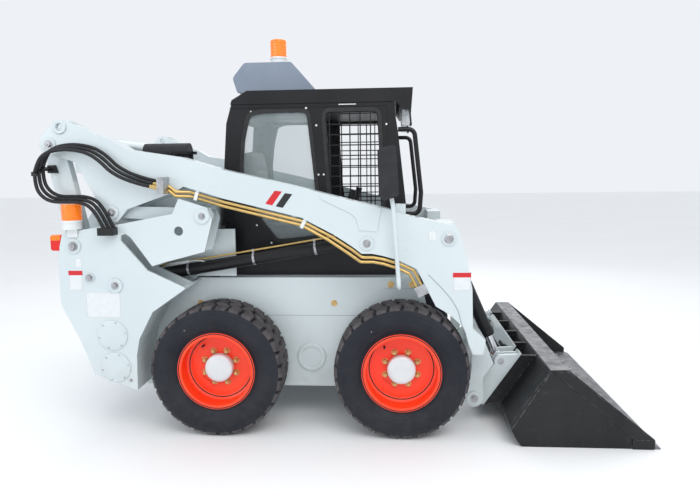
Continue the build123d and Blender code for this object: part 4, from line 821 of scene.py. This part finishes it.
def add_fasteners(hand, side):
    out = Vector((0, side, 0))
    for x, z, face, radius, _ in COVERS:
        mesh = bmesh.new()
        for i in range(COVER_SCREWS):
            angle = tau * i / COVER_SCREWS + 0.2
            dome_screw(mesh, at(x + radius * cos(angle), side * face, z + radius * sin(angle)), out, 5.5)
        piece(f"cover_screws_{hand}_{-x}_{z}", mesh, "zinc", "frame", slot="body_white")
    for x, z, face, radius, look, body in BOLTS:
        mesh = bmesh.new()
        bolt(mesh, at(x, side * face, z), out, radius)
        end = at(x, side * (face + radius * 0.95), z)
        disc(mesh, end, out, radius * 0.42, radius * 0.3, 12, radius * 0.34)
        piece(f"bolt_{hand}_{abs(x)}_{z}", mesh, look, body, bevel=0.8, smooth=False, segments=1)
    mesh = bmesh.new()
    disc(mesh, at(TILT_EYE[0], side * EAR_OUT, TILT_EYE[1]), out, 19, 3.6, 32, 17.5)
    piece(f"tilt_pin_end_{hand}", mesh, "zinc", "bucket", smooth=False)


def add_label(name, x, z, width, height, face, band, body, hand, side):
    plate(f"{name}_{hand}", rectangle(x, z, width, height), face, LABEL_T, "label", body, side,
          slot="body_white")
    left, low = x + LABEL_EDGE, z + LABEL_EDGE
    wide, high = width - 2 * LABEL_EDGE, height - 2 * LABEL_EDGE
    lines = (
        rectangle(left, low, wide, LABEL_LINE), rectangle(left, low + high - LABEL_LINE, wide, LABEL_LINE),
        rectangle(left, low, LABEL_LINE, high), rectangle(left + wide - LABEL_LINE, low, LABEL_LINE, high),
    )
    prisms(f"{name}_rim_{hand}", [(line, face, face + 1.1) for line in lines], "label_ink", body, side,
           slot="hump_grey")
    if band:
        strip = rectangle(x, z + height - BAND_HEIGHT - 4, width, BAND_HEIGHT)
        plate(f"{name}_band_{hand}", strip, face, 1.2, "signal_red", body, side, slot="red_lamp")


def add_arm_trim(hand, side):
    out = Vector((0, side, 0))
    plate(f"stripe_red_{hand}", RED_STRIPE, ARM_OUT, LABEL_T, "signal_red", "arms", side, slot="red_lamp")
    plate(f"stripe_black_{hand}", BLACK_STRIPE, ARM_OUT, LABEL_T, "ink_black", "arms", side,
          slot="cab_black")
    plate(f"arm_panel_{hand}", ARM_PANEL, ARM_OUT, 5.0, "body_white", "arms", side, bevel=3.0)
    line_piece(f"arm_seam_{hand}", [at(x, side * (ARM_OUT + 0.4), z) for x, z in ARM_SEAM], 2.0,
               "seam", "arms")
    eye = at(LIFTING_EYE[0], side * ARM_OUT, LIFTING_EYE[1])
    turned(f"eye_ring_{hand}", [(eye, out, EYE_RING, 36)], "body_white", "arms")
    pin = at(TILT_FOOT[0], side * ARM_BOSS_OUT, TILT_FOOT[1])
    turned(f"pin_cap_{hand}", [(pin, out, PIN_CAP, 32)], "zinc", "arms")
    for x, z, tilt in PIPE_CLIPS:
        turn = radians(tilt)
        parts = []
        for low, high, inner, outer in CLIP_PLATES:
            outline = [
                (x + a * cos(turn) - b * sin(turn), z + a * sin(turn) + b * cos(turn))
                for a, b in rectangle(-CLIP_HALF, low, 2 * CLIP_HALF, high - low)
            ]
            parts.append((outline, inner, outer))
        prisms(f"pipe_clip_{hand}_{abs(x)}", parts, "white_plastic", "arms", side, bevel=1.5)


def add_chassis_trim(hand, side):
    out = Vector((0, side, 0))
    seams = [(outline, CHASSIS_HALF - SET_IN, CHASSIS_HALF + 0.6) for outline in CHASSIS_SEAMS]
    prisms(f"chassis_seam_{hand}", seams, "seam", "frame", side, slot="hump_grey")
    plate(f"chassis_edge_{hand}", CHASSIS_EDGE, CHASSIS_HALF, 4.0, "body_white", "frame", side, bevel=0.8)
    rims = [(at(x, side * face, z), out, profile, 64) for x, z, face, _, profile in COVERS]
    turned(f"cover_rims_{hand}", rims, "body_white", "frame")


for hand, side in SIDES:
    add_fasteners(hand, side)
    for label in LABELS:
        add_label(*label, hand, side)
    add_arm_trim(hand, side)
    add_chassis_trim(hand, side)
    # Grey casings over the pipe blocks on the arm
    prisms(f"pipe_blocks_{hand}", [(REAR_BLOCK, ARM_OUT, 900), (LEG_BLOCK, 776, ARM_OUT + 2)], "zinc",
           "arms", side, bevel=2.0)

# -------- cab
REAR_WINDOW = (
    (-433, 1543), (-412, 1400), (-331, 1241), (-226, 1101), (48, 1130), (14, 1543), (-20, 1885),
    (-310, 1885), (-380, 1868), (-415, 1720),
)
FRONT_WINDOW = ((135, 1160), (440, 1190), (425, 1500), (405, 1885), (75, 1885), (100, 1420))
WINDOW_R = 42
SEAL_INNER = 9  # the seal's edges, inward and outward of the window's edge
SEAL_OUTER = 15
CAB_SCREWS = (
    (-365, 1885), (-30, 1902), (30, 1799), (38, 1505), (70, 1505), (-350, 1200), (-262, 1090), (-440, 1500),
    (450, 1799), (455, 1604), (458, 1560), (447, 1250),
)
CAB_HEADER = rectangle(-495, 1906, 950, 5)
CAB_POST = rectangle(452, 920, 6, 980)
VENT_PITCH = 27
CAB_VENTS = [rectangle(-535, 1046 + VENT_PITCH * i, 48, 12) for i in range(9)]
HEADER_MARK = rectangle(165, 1917, 105, 5)
# Rear face of a mirror head: glass, long rims, the corners and tops of the short rims
MIRROR_GLASS = ((409, 1622), (413, 1622), (419.5, 1396), (415.5, 1396))
MIRROR_RIM = ((406, 1630), (414, 1630), (421, 1390), (413, 1390))
MIRROR_SPAN = (826, 904)
MIRROR_RIM_W = 8


def offset_outline(outline, grow):
    """Moves each corner of a counter-clockwise outline outward by grow along its two edges."""
    grown = []
    count = len(outline)
    for i in range(count):
        (ax, az), (bx, bz), (cx, cz) = outline[i - 1], outline[i], outline[(i + 1) % count]
        first = Vector((bz - az, ax - bx)).normalized()
        second = Vector((cz - bz, bx - cx)).normalized()
        both = first + second
        both /= max(both.dot(first), 0.3)
        grown.append((bx + both.x * grow, bz + both.y * grow))
    return grown


def ring_prism(mesh, inner, outer, y_low, y_high):
    """A frame between two outlines with the same number of corners."""
    loops = [[mesh.verts.new(at(x, y, z)) for x, z in outline]
             for outline, y in ((inner, y_low), (outer, y_low), (outer, y_high), (inner, y_high))]
    for low, high in zip(loops, loops[1:] + loops[:1]):
        bridge(mesh, low, high)


def rounded(outline, radius, steps=5):
    """Rounds the corners of an outline."""
    result = []
    count = len(outline)
    for i in range(count):
        before, corner, after = (Vector(outline[(i + k) % count]) for k in (-1, 0, 1))
        to_before, to_after = (before - corner), (after - corner)
        reach = min(radius, to_before.length * 0.45, to_after.length * 0.45)
        start = corner + to_before.normalized() * reach
        end = corner + to_after.normalized() * reach
        for k in range(steps + 1):
            t = k / steps
            point = start * (1 - t) ** 2 + corner * 2 * t * (1 - t) + end * t**2
            result.append((point.x, point.y))
    return result


def add_cab_side(hand, side):
    back = CAB_HALF - 1
    mesh = bmesh.new()
    for window in (REAR_WINDOW, FRONT_WINDOW):
        edge = rounded(window, WINDOW_R)
        inner, outer = offset_outline(edge, -SEAL_INNER), offset_outline(edge, SEAL_OUTER)
        ring_prism(mesh, inner, outer, side * back, side * (CAB_HALF + 5))
    piece(f"window_seals_{hand}", mesh, "seal_rubber", "frame", bevel=1.5, slot="cab_black")
    mesh = bmesh.new()
    for x, z in CAB_SCREWS:
        dome_screw(mesh, at(x, side * CAB_HALF, z), Vector((0, side, 0)), 6.5)
    piece(f"cab_screws_{hand}", mesh, "white_plastic", "frame")
    trim = [(CAB_HEADER, back, CAB_HALF + 3), (CAB_POST, back, CAB_HALF + 2)]
    trim += [(vent, back, CAB_HALF + 6) for vent in CAB_VENTS]
    prisms(f"cab_trim_{hand}", trim, "cab_black", "frame", side, bevel=1.5)
    plate(f"header_mark_{hand}", HEADER_MARK, CAB_HALF, 1.0, "white_plastic", "frame", side)


def add_mirror(hand, side):
    low, high = MIRROR_SPAN
    glass = [(MIRROR_GLASS, low + MIRROR_RIM_W, high - MIRROR_RIM_W)]
    prisms(f"mirror_glass_{hand}", glass, "mirror_glass", "frame", side, slot="rod_chrome")
    rims = [(MIRROR_RIM, low, low + MIRROR_RIM_W), (MIRROR_RIM, high - MIRROR_RIM_W, high)]
    rims += [(((407, z), (416, z), (418, z + 9), (409, z + 9)), low, high) for z in (1622, 1388)]
    prisms(f"mirror_rim_{hand}", rims, "black_plastic", "frame", side, bevel=1.5)


for hand, side in SIDES:
    add_cab_side(hand, side)
    add_mirror(hand, side)

# -------- seat
SEAT_HALF = 240.0
SQUARENESS = 7  # power of the rounded box: higher is squarer
CHANNEL_DEPTH = 7.0  # sewn channels across the cushion
CHANNEL_HALF = 0.055
FLANK_CHANNELS = (-0.72, 0.72)  # and along its flanks
FLANK_DEPTH = 6.0
FLANK_HALF = 0.045
WELT_R = 4.0
WELT_STEPS = 96
WELT_IN = 0.985  # the welt's reach and height, as shares of the cushion's
WELT_HEIGHT = 0.8
# name, lower rear corner, direction along, length, direction up, thickness, half width, channels, crown
CUSHIONS = (
    ("seat_squab", (-425, 1081), (455, 12), 448, (-0.026, 1), 84, SEAT_HALF, (-0.45, 0.05, 0.5), 16),
    ("seat_back", (-445, 1168), (-58, 492), 488, (0.993, 0.117), 76, SEAT_HALF - 4, (-0.5, 0.0, 0.5), 14),
)


def boxed(*point):
    """Moves a point onto the surface of a rounded box."""
    size = sum(abs(part) ** SQUARENESS for part in point) ** (1 / SQUARENESS)
    return [part / size for part in point]


def add_cushion(name, origin, along, length, upward, thick, half, channels, crown):
    """A crowned cushion: sides pulled in between its corners, sewn channels across, and a welt."""
    along = Vector((along[0], 0, along[1])).normalized() / 1000
    upward = Vector((upward[0], 0, upward[1])).normalized() / 1000
    across = Vector((0, 0.001, 0))
    base = at(origin[0], 0, origin[1])
    mesh = bmesh.new()
    bmesh.ops.create_cube(mesh, size=2.0)
    bmesh.ops.subdivide_edges(mesh, edges=mesh.edges, cuts=23, use_grid_fill=True)
    for vertex in mesh.verts:
        u, v, w = boxed(*vertex.co)
        pull = 0.97 + 0.03 * max(abs(u), abs(v)) ** 4
        rise = crown * (1 - u * u) * (1 - v * v) if w > 0 else 0.0
        if w > 0.4:
            rise -= ridges(u, channels, CHANNEL_HALF, CHANNEL_DEPTH)
            rise -= ridges(v, FLANK_CHANNELS, FLANK_HALF, FLANK_DEPTH)
        vertex.co = (
            base + along * (u * pull + 1) * length / 2 + across * v * pull * half
            + upward * ((w + 1) * thick / 2 + rise)
        )
    made = piece(name, mesh, "seat_vinyl", "frame", slot="seat_vinyl")
    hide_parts("seat_cushions")
    loop = []
    for i in range(WELT_STEPS):
        u, v = boxed(cos(tau * i / WELT_STEPS), sin(tau * i / WELT_STEPS))
        run = along * (u * WELT_IN + 1) * length / 2
        loop.append(base + run + across * v * WELT_IN * half + upward * thick * WELT_HEIGHT)
    loop.append(loop[0])
    line_piece(name + "_welt", loop, WELT_R, "seat_vinyl", "frame", smooth=False)


for cushion in CUSHIONS:
    add_cushion(*cushion)

# -------- cylinders
FOOT_RING_AT = 78
# name, foot, head, flank with the ports (1 above, -1 below), barrel's radius, rod's radius, barrel's
# length, places of the ports
CYLINDERS = (
    ("lift", (-1088, 893), (343, 1126), 1, 36.0, 22.0, 1385.0, (110.0, 1335.0)),
    ("tilt", TILT_FOOT, TILT_EYE, -1, 38.0, 20.0, 690.0, (90.0, 640.0)),
)
SLEEVE = ((0, 0), (8, 0.5), (9, 3), (9, 117), (8, 119.5), (0, 120))
# Wire's route: along the barrel, out from its surface, outward
WIRE_ROUTE = ((200, -8, 16), (225, 12, 24), (262, 14, 24), (380, 14, 24), (430, 13, 22), (470, -2, 12))
# Tube's route: in from each port, out from the barrel's surface
TUBE_ENDS = ((0, 16), (26, 22), (60, 14))
STRAPS = (360, 760, 1130)


def add_cylinder(name, foot, head, flank, barrel_r, rod_r, barrel_len, ports, hand, side):
    """Gland, foot ring and ports of a cylinder, and on a lift cylinder its lines and straps."""
    body = name + "_barrels"
    centre_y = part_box(body)[1][1] * 1000 - barrel_r
    foot = Vector(foot)
    along = (Vector(head) - foot).normalized()
    above = Vector((-along.y, along.x)) * flank
    axis, rise_axis = Vector((along.x, 0, along.y)), Vector((above.x, 0, above.y))

    def place(run, rise=0.0, sideways=0.0):
        spot = foot + along * run + above * rise
        return at(spot.x, side * (centre_y + sideways), spot.y)

    gland = (
        (barrel_r, -2), (barrel_r + 5, 0), (barrel_r + 5, 30), (barrel_r + 2, 33), (barrel_r + 2, 40),
        (rod_r + 9, 44), (rod_r + 3, 46), (rod_r + 0.6, 46), (rod_r + 0.6, 30),
    )
    collar = ((barrel_r, -3), (barrel_r + 3.5, 0), (barrel_r + 3.5, 8), (barrel_r, 11))
    ends = [(place(barrel_len - 44), axis, gland, 40), (place(FOOT_RING_AT), axis, collar, 40)]
    turned(f"{name}_gland_{hand}", ends, "cab_black", body)
    mesh = bmesh.new()
    for run in ports:
        disc(mesh, place(run, barrel_r - 2), rise_axis, 13, 12, 20)
        disc(mesh, place(run, barrel_r + 8), rise_axis, 9.5, 13, 6)
    piece(f"{name}_ports_{hand}", mesh, "zinc", body, bevel=1.0, smooth=False)
    if name != "lift":
        return
    sleeve = [(place(262, barrel_r + 14, 24), axis, SLEEVE, 20)]
    turned(f"lift_sleeve_{hand}", sleeve, "wire_white", body, slot="white_plastic")
    wire = [place(run, barrel_r + rise, sideways) for run, rise, sideways in WIRE_ROUTE]
    line_piece(f"lift_wire_{hand}", wire, 3.5, "wire_white", body)
    start, end = ports
    tube = [place(start + run, barrel_r + rise) for run, rise in TUBE_ENDS]
    tube += [place(end - run, barrel_r + rise) for run, rise in reversed(TUBE_ENDS)]
    line_piece(f"lift_tube_{hand}", tube, 6.0, "pipe_gold", body)
    strap = ((barrel_r + 0.3, 0), (barrel_r + 2.2, 0.5), (barrel_r + 2.2, 13.5), (barrel_r + 0.3, 14))
    mesh = bmesh.new()
    for run in STRAPS:
        revolve(mesh, place(run), axis, strap, 36)
        disc(mesh, place(run + 7, barrel_r), rise_axis, 8, 22, 4)
    piece(f"lift_straps_{hand}", mesh, "zinc", body)


for cylinder in CYLINDERS:
    for hand, side in SIDES:
        add_cylinder(*cylinder, hand, side)

# -------- bucket
BUCKET_STRIP = ((1346, 428), (1436, 430), (1896, 51), (1896, 24), (1785, 24), (1783, 62))
BUCKET_SHOE = ((1783, 0), (1898, 0), (1901, 4), (1901, 55), (1783, 55))
BACK_WELD = ((1131, 96), (1136, 96), (1342, 424), (1335, 424))
TOP_WEAR = ((1338, 433.5), (1439, 434), (1439, 437.5), (1340, 437))
EDGE_BOLTS = 9
EDGE_PITCH = 190
for hand, side in SIDES:
    plate(f"bucket_strip_{hand}", BUCKET_STRIP, BUCKET_HALF, 6.0, "bucket_black", "bucket", side, bevel=2.0)
    plate(f"bucket_shoe_{hand}", BUCKET_SHOE, BUCKET_HALF, 9.0, "bucket_black", "bucket", side, bevel=2.5)
    prisms(f"bucket_weld_{hand}", [(BACK_WELD, BUCKET_HALF - 14, BUCKET_HALF + 3)], "bucket_black",
           "bucket", side, bevel=1.5)
prisms("bucket_top_wear", [(TOP_WEAR, 6 - BUCKET_HALF, BUCKET_HALF - 6)], "worn_steel", "bucket", bevel=1.0)
rows = [EDGE_PITCH * (i - (EDGE_BOLTS - 1) / 2) for i in range(EDGE_BOLTS)]
bolts("edge_bolts", [(at(1812, y, 20.5), (0, 0, 1), 12) for y in rows], "bucket")

# -------- lamps
# x, y, base's top, lens's top
BEACONS = ((-271, 0, 2279, 2397), (-1319, -828, 1262, 1358), (-1319, 828, 1262, 1358))
LENS_RIBS = 5
LENS_RIB = ((53.6, -4), (55.4, -1.4), (55.4, 1.4), (53.6, 4))
BASE_RING = ((54, -9), (57, -8), (57, 2), (54.5, 5), (53, 5))
TAIL_AMBER = ((-1456.5, 1150), (-1397, 1150), (-1391, 1172), (-1400, 1183), (-1446, 1183), (-1456.5, 1172))
TAIL_RIBS = [rectangle(-1455.6, 1100 + 12 * i, 35.6, 4) for i in range(4)]
# Bezel on a work lamp's front face
BEZEL_SPAN = (266, 384)
BEZEL_W = 6
BEZEL_SIDE = ((586, 1882), (596, 1880), (604, 1798), (594, 1798))
BEZEL_LOW = ((590, 1798), (604, 1798), (603, 1805), (590, 1805))
BEZEL_HIGH = ((590, 1874), (600, 1874), (598, 1881), (590, 1881))
for index, (x, y, base_top, lens_top) in enumerate(BEACONS):
    pitch = (lens_top - base_top - 34) / (LENS_RIBS - 1)
    ribs = [(at(x, y, base_top + 14 + i * pitch), (0, 0, 1), LENS_RIB, 40) for i in range(LENS_RIBS)]
    turned(f"beacon_ribs_{index}", ribs, "amber", "frame")
    collar = [(at(x, y, base_top), (0, 0, 1), BASE_RING, 40)]
    turned(f"beacon_ring_{index}", collar, "white_plastic", "frame")
for hand, side in SIDES:
    prisms(f"tail_amber_{hand}", [(TAIL_AMBER, 774, 832)], "amber", "frame", side, smooth=True, bevel=5.0)
    prisms(f"tail_ribs_{hand}", [(rib, 778, 828) for rib in TAIL_RIBS], "red_lamp", "frame", side,
           smooth=True, bevel=1.0)
    low, high = BEZEL_SPAN
    bezel = [(BEZEL_SIDE, low, low + BEZEL_W), (BEZEL_SIDE, high - BEZEL_W, high)]
    bezel += [(BEZEL_LOW, low, high), (BEZEL_HIGH, low, high)]
    prisms(f"lamp_bezel_{hand}", bezel, "black_plastic", "frame", side, bevel=1.5)

# -------- rear door, hood and deck
DOOR_FACE = -1445
LOUVRE_LOW = 860
LOUVRE_COUNT = 9
LOUVRE_PITCH = 24
DOOR_POST = rectangle(DOOR_FACE - 6, 846, 6, 234)
DOOR_RAILS = [rectangle(DOOR_FACE - 6, z, 6, 12) for z in (840, 1078)]
LATCH_AT = (-1446, -500, 1000)
LATCH_PLATE = ((26, -1), (26, 4), (22, 7), (0, 7))
LATCH_HANDLE = rectangle(-1462, 992, 10, 16)
# Sloping tops of the hood and the engine deck: x and z of the lower end, rise over run
HOOD_TOP = (-1310, 1330, 85 / 160)
DECK_TOP = (-1010, 1450, 70 / 420)
# Slats on the hood: run from the slat's foot, rise over the hood's top
SLAT = ((0, -1), (14, -1), (12, 7), (0, 2))
SLAT_X = -1298
SLAT_ROWS = 6
SLAT_PITCH = 24
SLAT_SPANS = ((-380, -40), (40, 380))
TOP_BOLT_R = 9
HOOD_BOLTS = ((-1090, 1431.5, (0.25, 0, 1)), (-1230, 1374, (-0.53, 0, 1)))
DECK_BOLTS = (-660, -780, -900)
louvres = []
for row in range(LOUVRE_COUNT):
    z = LOUVRE_LOW + LOUVRE_PITCH * row
    outline = ((DOOR_FACE - 7, z), (DOOR_FACE, z), (DOOR_FACE, z + 13), (DOOR_FACE - 5, z + 13))
    louvres.append((outline, -330, 330))
prisms("tailgate_louvres", louvres, "frame_black", "tailgate", bevel=1.5)
posts = [(DOOR_POST, -352, -340), (DOOR_POST, 340, 352)]
rails = [(rail, -352, 352) for rail in DOOR_RAILS]
prisms("tailgate_frame", posts + rails, "frame_black", "tailgate", bevel=1.5)
mesh = bmesh.new()
revolve(mesh, at(*LATCH_AT), (-1, 0, 0), LATCH_PLATE, 32)
prism(mesh, LATCH_HANDLE, -528, -472)
piece("tailgate_latch", mesh, "zinc", "tailgate", bevel=1.5)


def top_height(top, x):
    """Height of a sloping top at x."""
    low_x, low_z, rise = top
    return low_z + (x - low_x) * rise


slats = []
for row in range(SLAT_ROWS):
    x = SLAT_X + SLAT_PITCH * row
    slat = [(x + run, top_height(HOOD_TOP, x + run) + rise) for run, rise in SLAT]
    slats += [(slat, low, high) for low, high in SLAT_SPANS]
prisms("hood_slats", slats, "frame_black", "hood", bevel=1.5)
spots = [(at(x, y, z), axis, TOP_BOLT_R) for y in (-500, 500) for x, z, axis in HOOD_BOLTS]
bolts("hood_bolts", spots, "hood")
spots = [
    (at(x, y, top_height(DECK_TOP, x)), (-0.16, 0, 1), TOP_BOLT_R) for x in DECK_BOLTS for y in (-520, 520)
]
bolts("deck_bolts", spots, "frame")
